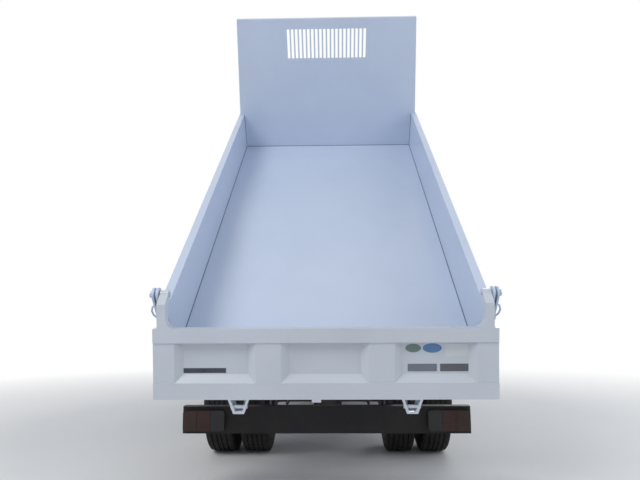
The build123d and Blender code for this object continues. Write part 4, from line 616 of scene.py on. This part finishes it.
cowl_half, cowl_low, cowl_high = 0.60, 1.268, 1.306
louvres, louvre_wide, louvre_thick, louvre_proud = 44, 0.014, 0.006, 0.0035
rim_steps, rim_gap, rim_radius = 16, 0.006, 0.005
cowl = bmesh.new()
for row in range(louvres):
    x = -cowl_half + (row + 0.5) * 2 * cowl_half / louvres
    low, high = (ahead_of("cab_shell", x, level, louvre_proud) for level in (cowl_low, cowl_high))
    louvre = Matrix.Translation((low + high) / 2) @ pointing(high - low)
    slab(cowl, louvre, (louvre_wide, louvre_thick, (high - low).length))
for level in (cowl_low - rim_gap, cowl_high + rim_gap):
    across = [-cowl_half + step * 2 * cowl_half / rim_steps for step in range(rim_steps + 1)]
    bent_rod(cowl, [ahead_of("cab_shell", x, level, 0.001) for x in across], rim_radius)
made_piece("cowl_louvres", cowl, moulded_black, "cab")

pivots, pivot_level = (-0.58, 0.02), 1.290
blade_from, blade_pitch, blade_steps = 0.0368, 0.0529, 9
blade_level, blade_rise, blade_proud = 1.362, 0.006, 0.009
facing_y = Matrix.Rotation(pi / 2, 4, "X")
wipers = bmesh.new()
for pivot_x in pivots:
    pivot = ahead_of("cab_shell", pivot_x, pivot_level, 0.004)
    turned_piece(wipers, Matrix.Translation(pivot) @ facing_y, 0.015, 0.011, 0.02, 18)
    blade = []
    for step in range(blade_steps):
        x, level = pivot_x + blade_from + blade_pitch * step, blade_level + blade_rise * step
        blade.append(ahead_of("cab_glass", x, level, blade_proud))
    bent_rod(wipers, blade, 0.0055)
    arm = [pivot + Vector((0, 0.012, 0)), blade[0] + Vector((0.06, 0.02, -0.01))]
    bent_rod(wipers, arm + [blade[blade_steps // 2] + Vector((0, 0.008, 0))], 0.005)
made_piece("wipers", wipers, seal_rubber, "cab")

# Along the roof's edge and down the windscreen pillar: station and level
gutter_line = (
    (1.10, 1.893), (1.40, 1.892), (1.70, 1.888), (1.83, 1.880), (1.93, 1.74), (2.03, 1.56),
    (2.10, 1.43),
)
gutter = bmesh.new()
bent_rod(gutter, [beside("cab_shell", y, z, 0.002) for y, z in gutter_line], 0.006)
both_sides(gutter)
made_piece("roof_gutters", gutter, cab_white, "cab")

side_lamps = bmesh.new()
knob(side_lamps, beside("cab_shell", 2.235, 1.02, -0.001), (0.011, 0.036, 0.017))
both_sides(side_lamps)
made_piece("side_turn_lamps", side_lamps, amber_lens, "cab")

panel_half, panel_low, panel_high = 0.64, 0.915, 1.235
seam_steps = 12
corners = (
    (-panel_half, panel_low), (-panel_half, panel_high), (panel_half, panel_high),
    (panel_half, panel_low),
)
seam_line = []
for (x0, z0), (x1, z1) in zip(corners, corners[1:] + corners[:1]):
    for step in range(seam_steps):
        share = step / seam_steps
        seam_line.append(ahead_of("cab_shell", x0 + (x1 - x0) * share, z0 + (z1 - z0) * share))
seam = bmesh.new()
bent_rod(seam, seam_line + seam_line[:1], 0.0022, eased_bends=False)
made_piece("front_panel_seam", seam, seal_rubber, "cab")


def eased_box(mesh, size, middle, ease, segments, upright=False):
    """A box with all its edges rounded, or only the four that run from its back to its front."""
    bmesh.ops.create_cube(mesh, size=1.0)
    bmesh.ops.scale(mesh, vec=size, verts=mesh.verts)
    edges = mesh.edges[:]
    if upright:
        runs = [edge.verts[0].co - edge.verts[1].co for edge in edges]
        edges = [edge for edge, run in zip(edges, runs) if abs(run.y) > size[1] / 2]
    eased(mesh, edges, ease, segments)
    bmesh.ops.translate(mesh, vec=middle, verts=mesh.verts)


grip_x, grip_y, grip_level, grip_size = 0.8525, 1.3517, 1.144, (0.022, 0.143, 0.0305)
lock_face = beside("door_right", 1.262, 1.100, 0.001)
lock = Matrix.Translation(lock_face) @ Matrix.Rotation(pi / 2, 4, "Y")
for side_name, sign in (("left", -1), ("right", 1)):
    grip = bmesh.new()
    eased_box(grip, grip_size, (sign * grip_x, grip_y, grip_level), 0.006, 3)
    turned_piece(grip, Matrix.Diagonal((sign, 1, 1, 1)) @ lock, 0.011, 0.011, 0.004, 20)
    bmesh.ops.recalc_face_normals(grip, faces=grip.faces)
    made_piece(f"door_grip_{side_name}", grip, moulded_black, f"door_{side_name}")

# Mirrors: moulded black heads with silvered glass in them, one tall and one round on each bracket.
# A second black tube runs from the top of each bracket back to a foot on the pillar.
dress(moulded_black, "mirrors")
mirror_silver = finish(
    "mirror_silver", metallic=1.0, bump=0.00001, strength=0.1, Paint=(0.72, 0.75, 0.77, 1),
    Dust=(0.4, 0.4, 0.4, 1), Dust_Amount=0.08, Clean_Roughness=0.03, Grain=100.0,
)
mirror_back, pane_thick = 2.3237, 0.003
panes = bmesh.new()
eased_box(panes, (0.146, pane_thick, 0.276), (0.951, mirror_back, 1.350), 0.028, 6, upright=True)
round_pane = Matrix.Translation((0.955, mirror_back + 0.002, 1.110)) @ facing_y
turned_piece(panes, round_pane, 0.062, 0.062, pane_thick, 40)
both_sides(panes)
made_piece("mirror_panes", panes, mirror_silver, "cab")

stay_top = Vector((0.935, 2.3337, 1.556))
pillar = beside("cab_shell", 2.090, 1.600, 0.004)
stay_bends = [stay_top + Vector((-0.01, -0.012, 0.03)), pillar + Vector((0.02, 0.01, 0))]
stays = bmesh.new()
bent_rod(stays, [stay_top, *stay_bends, pillar], 0.010)
turned_piece(stays, Matrix.Translation(pillar) @ pointing((1, 0, 0)), 0.022, 0.016, 0.012, 20)
both_sides(stays)
made_piece("mirror_stays", stays, moulded_black, "cab")

# Step treads: chequered plates of bare aluminium, laid in the lower and the upper step of each
# side. Short bars, set at right angles to their neighbours, stand up from each plate as grip.
tread_metal = finish(
    "tread_metal", metallic=0.9, bump=0.0002, Paint=(0.55, 0.56, 0.57, 1),
    Dust=(0.2, 0.16, 0.12, 1), Dust_Amount=0.6, Clean_Roughness=0.35,
)
tread_x, tread_y, tread_levels = 0.747, 2.0542, (0.4585, 0.6125)
plate_size, bar_size = (0.152, 0.370, 0.003), (0.019, 0.004, 0.002)
bar_rows, bar_columns = 6, 14
row_pitch, column_pitch = 0.025, 0.026
treads = bmesh.new()
for level in tread_levels:
    slab(treads, Matrix.Translation((tread_x, tread_y, level)), plate_size)
    for row in range(bar_rows):
        for column in range(bar_columns):
            x = tread_x + (row - (bar_rows - 1) / 2) * row_pitch
            y = tread_y + (column - (bar_columns - 1) / 2) * column_pitch
            turn = Matrix.Rotation(radians(45 if (row + column) % 2 else -45), 4, "Z")
            slab(treads, Matrix.Translation((x, y, level + 0.0018)) @ turn, bar_size)
both_sides(treads)
made_piece("step_treads", treads, tread_metal, "cab")

# Inside the cab: a moulded grey fascia and a black wheel, and two foam seats in woven grey cloth on
# plastic bases. Channels are sewn across cushions and backs, and steel stalks hold the headrests.
moulded_grey = finish(
    "moulded_grey", bump=0.0003, Paint=(0.16, 0.16, 0.165, 1), Dust=(0.3, 0.27, 0.23, 1),
    Dust_Amount=0.12, Dust_Height=1.2, Clean_Roughness=0.6, Grain=800.0,
)
dress(moulded_grey, "dashboard")
dress(moulded_black, "steering_wheel")

weave, ends_in, ends_out = shade_group("seat_weave", {
    "Warp": (0.1, 0.1, 0.12, 1),
    "Weft": (0.2, 0.2, 0.22, 1),
    "Thread": 900.0,
})
place = object_place(weave)
axes = add(weave, "ShaderNodeSeparateXYZ", {0: place}).outputs
along = arithmetic(weave, "ADD", axes["Y"], axes["Z"])
waves = []
for run in (axes["X"], along):
    phase = arithmetic(weave, "MULTIPLY", run, ends_in.outputs["Thread"])
    waves.append(arithmetic(weave, "SINE", phase, 0.0))
crossing = between(weave, arithmetic(weave, "MULTIPLY", *waves), -1.0, 1.0)
wear = between(weave, noise(weave, place, 7.0, 4.0), 0.35, 0.7, 0.85, 1.1)
thread = mixed(weave, crossing, ends_in.outputs["Warp"], ends_in.outputs["Weft"])
put_out(
    weave, ends_out,
    Colour=mixed(weave, 1.0, thread, wear, "MULTIPLY"),
    Roughness=between(weave, crossing, 0.0, 1.0, 0.8, 0.92),
    Height=crossing,
)
seat_cloth = finish(
    "seat_cloth", bump=0.0006, strength=0.6, group=weave,
    Warp=(0.06, 0.062, 0.075, 1), Weft=(0.14, 0.142, 0.155, 1), Thread=1400.0,
)
pad_cuts = 31
pad_roundness = 0.55
seam_pull = 0.006
sewn_from, channel_depth, channel_width = 0.6, 0.009, 0.055


def stuffed_pad(name, size, crown, place, lean, channels):
    """A foam pad in cloth: crowned, with soft edges that pull in, and with sewn channels."""
    mesh = bmesh.new()
    bmesh.ops.create_cube(mesh, size=2.0)
    bmesh.ops.subdivide_edges(mesh, edges=mesh.edges[:], cuts=pad_cuts, use_grid_fill=True)
    half = Vector(size) / 2
    edge = min(half) * pad_roundness
    for vert in mesh.verts:
        across, along, up = vert.co
        square = Vector([reach * share for reach, share in zip(half, vert.co)])
        core = Vector([max(edge - reach, min(reach - edge, at)) for reach, at in zip(half, square)])
        skin = square - core
        vert.co = core + (skin.normalized() * edge if skin.length > 0 else skin)
        across_bow, along_bow = 1 - across * across, 1 - along * along
        vert.co.x -= seam_pull * across * along_bow
        vert.co.y -= seam_pull * along * across_bow
        vert.co.z += crown * across_bow * along_bow * up
        if up > sewn_from:
            for channel in channels:
                vert.co.z -= channel_depth * exp(-(((along - channel) / channel_width) ** 2))
    in_cab = Matrix.Translation(place) @ Matrix.Rotation(radians(lean), 4, "X")
    bmesh.ops.transform(mesh, matrix=in_cab, verts=mesh.verts)
    bmesh.ops.recalc_face_normals(mesh, faces=mesh.faces)
    pad = made_piece(name, mesh, seat_cloth, "cab", crisp_over=60)
    return pad


cushion_y = 1.500
cushion_channels, back_channels = (-0.45, 0.0, 0.45), (-0.5, -0.15, 0.2, 0.55)
stalk_half, stalk_radius = 0.06, 0.006
for seat_name, middle, width in (("driver", 0.370, 0.476), ("bench", -0.260, 0.636)):
    cushion = stuffed_pad(
        f"{seat_name}_cushion", (width, 0.440, 0.125), 0.012, (middle, cushion_y, 1.003), 3,
        cushion_channels,
    )
    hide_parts("seats")
    stuffed_pad(
        f"{seat_name}_back", (width, 0.520, 0.085), 0.010, (middle, 1.268, 1.296), 102,
        back_channels,
    )
    stuffed_pad(
        f"{seat_name}_headrest", (0.255, 0.135, 0.066), 0.006, (middle, 1.199, 1.647), 90, ()
    )
    stalks = bmesh.new()
    for x in (middle - stalk_half, middle + stalk_half):
        foot, top = Vector((x, 1.202, 1.50)), Vector((x, 1.200, 1.60))
        stalk = Matrix.Translation((foot + top) / 2) @ pointing(top - foot)
        turned_piece(stalks, stalk, stalk_radius, stalk_radius, (top - foot).length, 12)
    made_piece(f"{seat_name}_headrest_stalks", stalks, lamp_chrome, "cab")
    base = bmesh.new()
    eased_box(base, (width - 0.06, 0.36, 0.02), (middle, cushion_y, 0.9405), 0.006, 2)
    made_piece(f"{seat_name}_seat_base", base, moulded_black, "cab")

# Instruments, pedals and lever: two round dials in a black binnacle, three rubber-faced pedals hung
# from the fascia, and a cranked gear lever with a knob. The dials' ticks carry no figures.
dial_face = finish(
    "dial_face", coat=0.6, coat_rough=0.05, bump=0.00001, Paint=(0.012, 0.012, 0.014, 1),
    Dust=(0.1, 0.1, 0.1, 1), Dust_Amount=0.05, Clean_Roughness=0.4, Grain=100.0,
)
dial_mark = finish(
    "dial_mark", bump=0.00001, Paint=(0.75, 0.75, 0.72, 1), Dust=(0.5, 0.5, 0.5, 1),
    Dust_Amount=0.05, Clean_Roughness=0.5, Grain=100.0,
)
on_binnacle = Matrix.Translation((0.370, 2.0255, 1.268)) @ Matrix.Rotation(radians(-12.5), 4, "X")
panel = bmesh.new()
eased_box(panel, (0.34, 0.008, 0.076), (0, 0, 0), 0.003, 2)
dial_reach = 0.031
ticks, first_tick, last_tick, tick_size = 11, -130, 130, (0.0012, 0.001, 0.006)
needle_radius, needle_level = 0.0011, -0.0065
marks = bmesh.new()
for dial_x in (-0.075, 0.075):
    face_on = Matrix.Translation((dial_x, -0.005, 0)) @ facing_y
    ring = bmesh.ops.create_circle(
        marks, cap_ends=False, segments=40, radius=dial_reach + 0.003, matrix=face_on
    )
    ring_edges = dict.fromkeys(edge for vert in ring["verts"] for edge in vert.link_edges)
    wall = bmesh.ops.extrude_edge_only(marks, edges=list(ring_edges))["geom"]
    bmesh.ops.scale(
        marks, vec=(0.93, 1, 0.93), space=Matrix.Translation((-dial_x, 0, 0)),
        verts=[item for item in wall if isinstance(item, bmesh.types.BMVert)],
    )
    for step in range(ticks):
        turn = radians(first_tick + (last_tick - first_tick) * step / (ticks - 1))
        spot = (dial_x + sin(turn) * dial_reach * 0.8, -0.0048, cos(turn) * dial_reach * 0.8)
        slab(marks, Matrix.Translation(spot) @ Matrix.Rotation(turn, 4, "Y"), tick_size)
    resting = radians(first_tick)
    needle = Vector((sin(resting), 0, cos(resting))) * dial_reach * 0.7
    along = Matrix.Translation(Vector((dial_x, needle_level, 0)) + needle / 2) @ pointing(needle)
    turned_piece(marks, along, needle_radius, needle_radius, needle.length, 8)
for mesh in (panel, marks):
    bmesh.ops.transform(mesh, matrix=on_binnacle, verts=mesh.verts)
made_piece("dial_panel", panel, dial_face, "cab")
made_piece("dial_marks", marks, dial_mark, "cab")

# The pedals' arms and the lever, seen from the side: station and level
pedal_arm = ((2.084, 0.903), (2.130, 0.930), (2.175, 1.000), (2.190, 1.060))
lever_line = ((1.870, 0.786), (1.868, 0.880), (1.800, 0.960), (1.792, 1.040))
lever_x = 0.150
pedal_lean = Matrix.Rotation(radians(-35), 4, "X")
controls = bmesh.new()
for x, wide in ((0.235, 0.060), (0.335, 0.060), (0.505, 0.045)):
    slab(controls, Matrix.Translation((x, 2.080, 0.900)) @ pedal_lean, (wide, 0.012, 0.065))
    bent_rod(controls, [(x, y, z) for y, z in pedal_arm], 0.006)
bent_rod(controls, [(lever_x, y, z) for y, z in lever_line], 0.007)
knob(controls, (lever_x, 1.791, 1.055), (0.022, 0.022, 0.022), 20)
turned_piece(controls, Matrix.Translation((lever_x, 1.870, 0.816)), 0.045, 0.012, 0.06, 24)
made_piece("pedals_and_lever", controls, moulded_black, "cab", crisp_over=40)

# Bed: a steel floor and deep pressed sides, welded at the corners and sprayed white. Its inside is
# drawn pale blue and darker than the cab, which is painted blue shade. Loads have worn long fine
# scratches into the floor and left grey smears.
tilt = radians(-joints["bed_tilt"]["range_deg"][0])
hinge = Vector(joints["bed_tilt"]["pos_m"])
on_bed = Matrix.Translation(hinge) @ Matrix.Rotation(tilt, 4, "X")

scoured, ends_in, ends_out = shade_group("scoured_paint", {
    "Paint": (0.8, 0.8, 0.8, 1),
    "Smear": (0.5, 0.52, 0.55, 1),
    "Smear Amount": 0.3,
    "Scratch Amount": 0.2,
    "Clean Roughness": 0.35,
})
place = object_place(scoured)


def down_the_bed(scale):
    """The place on the surface, turned with the tipped bed and stretched along it."""
    inputs = {"Vector": place, "Rotation": (-tilt, 0, 0), "Scale": scale}
    return add(scoured, "ShaderNodeMapping", inputs).outputs[0]


scratch_pattern, smear_pattern = down_the_bed((70.0, 1.6, 70.0)), down_the_bed((2.4, 0.8, 2.4))
scratch = between(scoured, noise(scoured, scratch_pattern, 1.0, 3.0, 0.7), 0.56, 0.78)
smear = between(scoured, noise(scoured, smear_pattern, 1.0, 5.0, 0.6), 0.42, 0.75)
smear = arithmetic(scoured, "MULTIPLY", smear, ends_in.outputs["Smear Amount"])
scratch = arithmetic(scoured, "MULTIPLY", scratch, ends_in.outputs["Scratch Amount"])
worn = arithmetic(scoured, "MAXIMUM", smear, scratch)
wear_roughness = 0.5
rougher = arithmetic(scoured, "MULTIPLY", worn, wear_roughness)
put_out(
    scoured, ends_out,
    Colour=mixed(scoured, worn, ends_in.outputs["Paint"], ends_in.outputs["Smear"]),
    Roughness=arithmetic(scoured, "ADD", ends_in.outputs["Clean Roughness"], rougher),
    Height=arithmetic(scoured, "ADD", noise(scoured, place, 260.0, 2.0), scratch),
)
# The inside's white paint is tinted blue and darkened: painted blue shade, not the paint's own
# colour.
bed_white_painted_blue_shade = finish(
    "bed_white_painted_blue_shade", coat=0.25, coat_rough=0.15, bump=0.00012, strength=0.35, group=scoured,
    Paint=(0.545, 0.625, 0.775, 1), Smear=(0.33, 0.385, 0.50, 1), Smear_Amount=0.15,
    Scratch_Amount=0.15, Clean_Roughness=0.36,
)
# The outside white is darker and greyer than the cab's same paint: painted shade.
outer_white_painted_shade = finish(
    "outer_white_painted_shade", coat=0.45, coat_rough=0.1, bump=0.00008, strength=0.3,
    Paint=(0.565, 0.61, 0.68, 1), Dust=(0.44, 0.41, 0.37, 1), Dust_Amount=0.12,
    Clean_Roughness=0.28, Grain=420.0,
)
dress(bed_white_painted_blue_shade, "bed_floor", "bed_side_left", "bed_side_right", "headboard")
dress(outer_white_painted_shade, "bed_sills", "bed_cross_beams")

# Seams and fittings of the bed: sealer that has greyed in the corners round the floor, bolts
# through the gate's hinge plates, bright ends on its pins, and rope hooks welded under the walls.
sealer = finish(
    "sealer", bump=0.0006, strength=0.8, Paint=(0.13, 0.165, 0.25, 1), Dust=(0.06, 0.07, 0.09, 1),
    Dust_Amount=0.5, Dust_Height=3.0, Clean_Roughness=0.6, Grain=200.0,
)
# From the bed's hinge, with the bed lowered
bed_rear, bed_front, bed_half, floor_level, wall_top = -0.350, 2.700, 0.800, 0.175, 0.495
floor_bead, corner_bead = 0.0042, 0.0035
left_front, right_front = (-bed_half, bed_front, floor_level), (bed_half, bed_front, floor_level)
seams = bmesh.new()
for x, y, z in (left_front, right_front):
    bent_rod(seams, [(x, bed_rear + 0.004, z), (x, y, z)], floor_bead, eased_bends=False)
    bent_rod(seams, [(x, y, z), (x, y, wall_top)], corner_bead, eased_bends=False)
bent_rod(seams, [left_front, right_front], floor_bead, eased_bends=False)
bmesh.ops.transform(seams, matrix=on_bed, verts=seams.verts)
made_piece("floor_seams", seams, sealer, "bed")

plate_face, plate_bolts = 0.861, ((-0.255, 0.400), (-0.255, 0.440))
plate_nut = (0.022, 0.009, 0.004)
pin_end, pin_cap = 0.875, (0.006, 0.0165, 0.0165)
gate_pin = Vector(joints["tailgate_swing"]["pos_m"])
pin_on_bed = on_bed.inverted() @ gate_pin
fittings = bmesh.new()
for sign in (-1, 1):
    for bolt in plate_bolts:
        hex_nut(fittings, (sign * plate_face, *bolt), (sign, 0, 0), plate_nut)
    knob(fittings, (sign * pin_end, pin_on_bed.y, pin_on_bed.z), pin_cap)
bmesh.ops.transform(fittings, matrix=on_bed, verts=fittings.verts)
made_piece("gate_hinge_fittings", fittings, lamp_chrome, "bed")

wall_face, hook_level, hook_out = 0.847, 0.150, 0.021
hook_drop, hook_span, hook_radius = 0.03, 0.06, 0.0045
hook_count, hook_first, hook_pitch = 5, 0.22, 0.65
hooks = bmesh.new()
for sign in (-1, 1):
    wall, out = sign * wall_face, sign * (wall_face + hook_out)
    low = hook_level - hook_drop
    for station in range(hook_count):
        y = bed_rear + hook_first + station * hook_pitch
        middle, end = y + hook_span / 2, y + hook_span
        hook = [
            (wall, y, hook_level), (out, y, hook_level), (out, y, low), (out, middle, low),
            (out, end, low), (out, end, hook_level), (wall, end, hook_level),
        ]
        bent_rod(hooks, hook, hook_radius)
bmesh.ops.transform(hooks, matrix=on_bed, verts=hooks.verts)
made_piece("rope_hooks", hooks, outer_white_painted_shade, "bed")

# Tailgate: a pressed double panel with three shallow pockets, sprayed white and hung from two ears.
# Its white is drawn darker and greyer, as painted shade.
# Thin blank plates and ovals of coloured vinyl are stuck in its pockets.
dress(outer_white_painted_shade, "tailgate")
gate_hang = tilt - radians(-joints["tailgate_swing"]["range_deg"][0])
on_gate = Matrix.Translation(gate_pin) @ Matrix.Rotation(gate_hang, 4, "X")
pocket_face = -0.045
sticker_thick = 0.0012


def sticker(name, colour, middle, size, corner):
    """A thin sticker in a pocket, placed from the gate's pins. With no corner it is oval."""
    x, y, z = middle[0], pocket_face - sticker_thick / 2, middle[1]
    mesh = bmesh.new()
    if corner:
        eased_box(mesh, (size[0], sticker_thick, size[1]), (x, y, z), corner, 6, upright=True)
    else:
        turned_piece(mesh, facing_y, 0.5, 0.5, sticker_thick, 48)
        bmesh.ops.scale(mesh, vec=(size[0], 1, size[1]), verts=mesh.verts)
        bmesh.ops.translate(mesh, vec=(x, y, z), verts=mesh.verts)
    bmesh.ops.transform(mesh, matrix=on_gate, verts=mesh.verts)
    vinyl = finish(
        f"{name}_vinyl", coat=0.5, coat_rough=0.12, bump=0.00005, strength=0.2, Paint=colour,
        Dust=(0.4, 0.38, 0.35, 1), Dust_Amount=0.2, Grain=600.0,
    )
    made_piece(name, mesh, vinyl, "tailgate")


sticker("long_navy_strip", (0.010, 0.017, 0.052, 1), (-0.596, -0.374), (0.211, 0.024), 0.002)
sticker("green_oval_label", (0.11, 0.19, 0.17, 1), (0.434, -0.266), (0.076, 0.042), None)
sticker("blue_oval_label", (0.07, 0.19, 0.42, 1), (0.527, -0.266), (0.093, 0.046), None)
sticker("pale_square_label", (0.64, 0.67, 0.705, 1), (0.657, -0.277), (0.133, 0.062), 0.003)
sticker("grey_strip", (0.13, 0.155, 0.2, 1), (0.478, -0.362), (0.143, 0.037), 0.002)
sticker("load_rating_plate", (0.075, 0.082, 0.1, 1), (0.641, -0.362), (0.152, 0.037), 0.002)

# Hoist: a welded barrel in chassis black with two middle tubes and a rod, all hard-chromed and
# oily, which slide out of each other under the bed's middle.
dress(chassis_black, "hoist_barrel")
oiled_chrome = finish(
    "oiled_chrome", metallic=1.0, bump=0.00002, strength=0.2, Paint=(0.68, 0.68, 0.69, 1),
    Dust=(0.22, 0.17, 0.11, 1), Dust_Amount=0.25, Dust_Height=1.4, Clean_Roughness=0.12,
    Grain=500.0,
)
dress(oiled_chrome, "hoist_stage_1", "hoist_stage_2", "hoist_rod")

# Studio: a plain pale floor under soft light, fading to white round the truck, and a camera behind
# the truck at waist height, looking slightly up.
floor_radius = 60
fade_from, fade_to = 2.5, 6.5
floor_mesh = bmesh.new()
bmesh.ops.create_circle(floor_mesh, cap_ends=True, segments=96, radius=floor_radius)
floor_data = bpy.data.meshes.new("studio_floor")
floor_mesh.to_mesh(floor_data)
floor_mesh.free()
studio_floor = bpy.data.objects.new("studio_floor", floor_data)
bpy.context.scene.collection.objects.link(studio_floor)
pale_floor, tree, paving = bare_material("pale_floor", {"Roughness": 0.8})
place = object_place(tree)
stain = between(tree, noise(tree, place, 0.6, 4.0), 0.3, 0.7)
stained = mixed(tree, stain, (0.76, 0.76, 0.76, 1), (0.79, 0.79, 0.79, 1))
tree.links.new(stained, paving.inputs["Base Color"])
reach = add(tree, "ShaderNodeVectorMath", {0: place}, operation="LENGTH").outputs["Value"]
seen = add(tree, "ShaderNodeLightPath").outputs["Is Camera Ray"]
faded = arithmetic(tree, "MULTIPLY", between(tree, reach, fade_from, fade_to), seen)
haze = add(tree, "ShaderNodeEmission", {"Color": (1.0, 1.0, 1.0, 1), "Strength": 1.0})
blend = add(tree, "ShaderNodeMixShader", {0: faded, 1: paving.outputs[0], 2: haze.outputs[0]})
tree.links.new(blend.outputs[0], tree.nodes["Material Output"].inputs["Surface"])
floor_data.materials.append(pale_floor)

world = bpy.data.worlds.new("studio_sky")
bpy.context.scene.world = world
world.use_nodes = True
tree = world.node_tree
tree.nodes.clear()
path = add(tree, "ShaderNodeLightPath").outputs
seen = arithmetic(tree, "MAXIMUM", path["Is Camera Ray"], path["Is Glossy Ray"])
seen = arithmetic(tree, "MAXIMUM", seen, path["Is Transmission Ray"])
dim = add(tree, "ShaderNodeBackground", {"Color": (0.86, 0.92, 1.0, 1), "Strength": 0.5})
bright = add(tree, "ShaderNodeBackground", {"Color": (1.0, 1.0, 1.0, 1), "Strength": 1.0})
blend = add(tree, "ShaderNodeMixShader", {0: seen, 1: dim.outputs[0], 2: bright.outputs[0]})
add(tree, "ShaderNodeOutputWorld", {0: blend.outputs[0]})


def soft_lamp(name, place, aim, size, power, colour=(1, 1, 1)):
    """A square area lamp that faces a point."""
    data = bpy.data.lights.new(name, "AREA")
    data.size = size
    data.energy = power
    data.color = colour
    lamp = bpy.data.objects.new(name, data)
    turn = (Vector(aim) - Vector(place)).to_track_quat("-Z", "Y")
    lamp.matrix_world = Matrix.Translation(place) @ turn.to_matrix().to_4x4()
    bpy.context.scene.collection.objects.link(lamp)


soft_lamp("key_lamp", (-5.0, -6.5, 6.5), (0, -1, 1.2), 4.0, 330, (1.0, 0.98, 0.95))
soft_lamp("fill_lamp", (6.0, -4.0, 4.0), (0, -0.5, 1.0), 5.0, 130)
soft_lamp("front_lamp", (3.5, 8.0, 6.0), (0, 1.0, 1.0), 5.0, 240)

pitch, yaw, roll = radians(8.01), radians(1.30), radians(-0.27)
film_width, picture_width, focal_pixels = 36, 640, 576
camera_x, behind_hinge, camera_level = 0.044, 3.4995, 0.877
turn = Matrix.Rotation(pi / 2 + pitch, 4, "X") @ Matrix.Rotation(roll, 4, "Z")
turn = Matrix.Rotation(yaw, 4, "Z") @ turn
camera_data = bpy.data.cameras.new("view_camera")
camera_data.sensor_width = film_width
camera_data.lens = film_width * focal_pixels / picture_width
camera = bpy.data.objects.new("view_camera", camera_data)
camera.matrix_world = Matrix.Translation((camera_x, hinge.y - behind_hinge, camera_level)) @ turn
bpy.context.scene.collection.objects.link(camera)
bpy.context.scene.camera = camera
bpy.context.scene.view_settings.view_transform = "Standard"
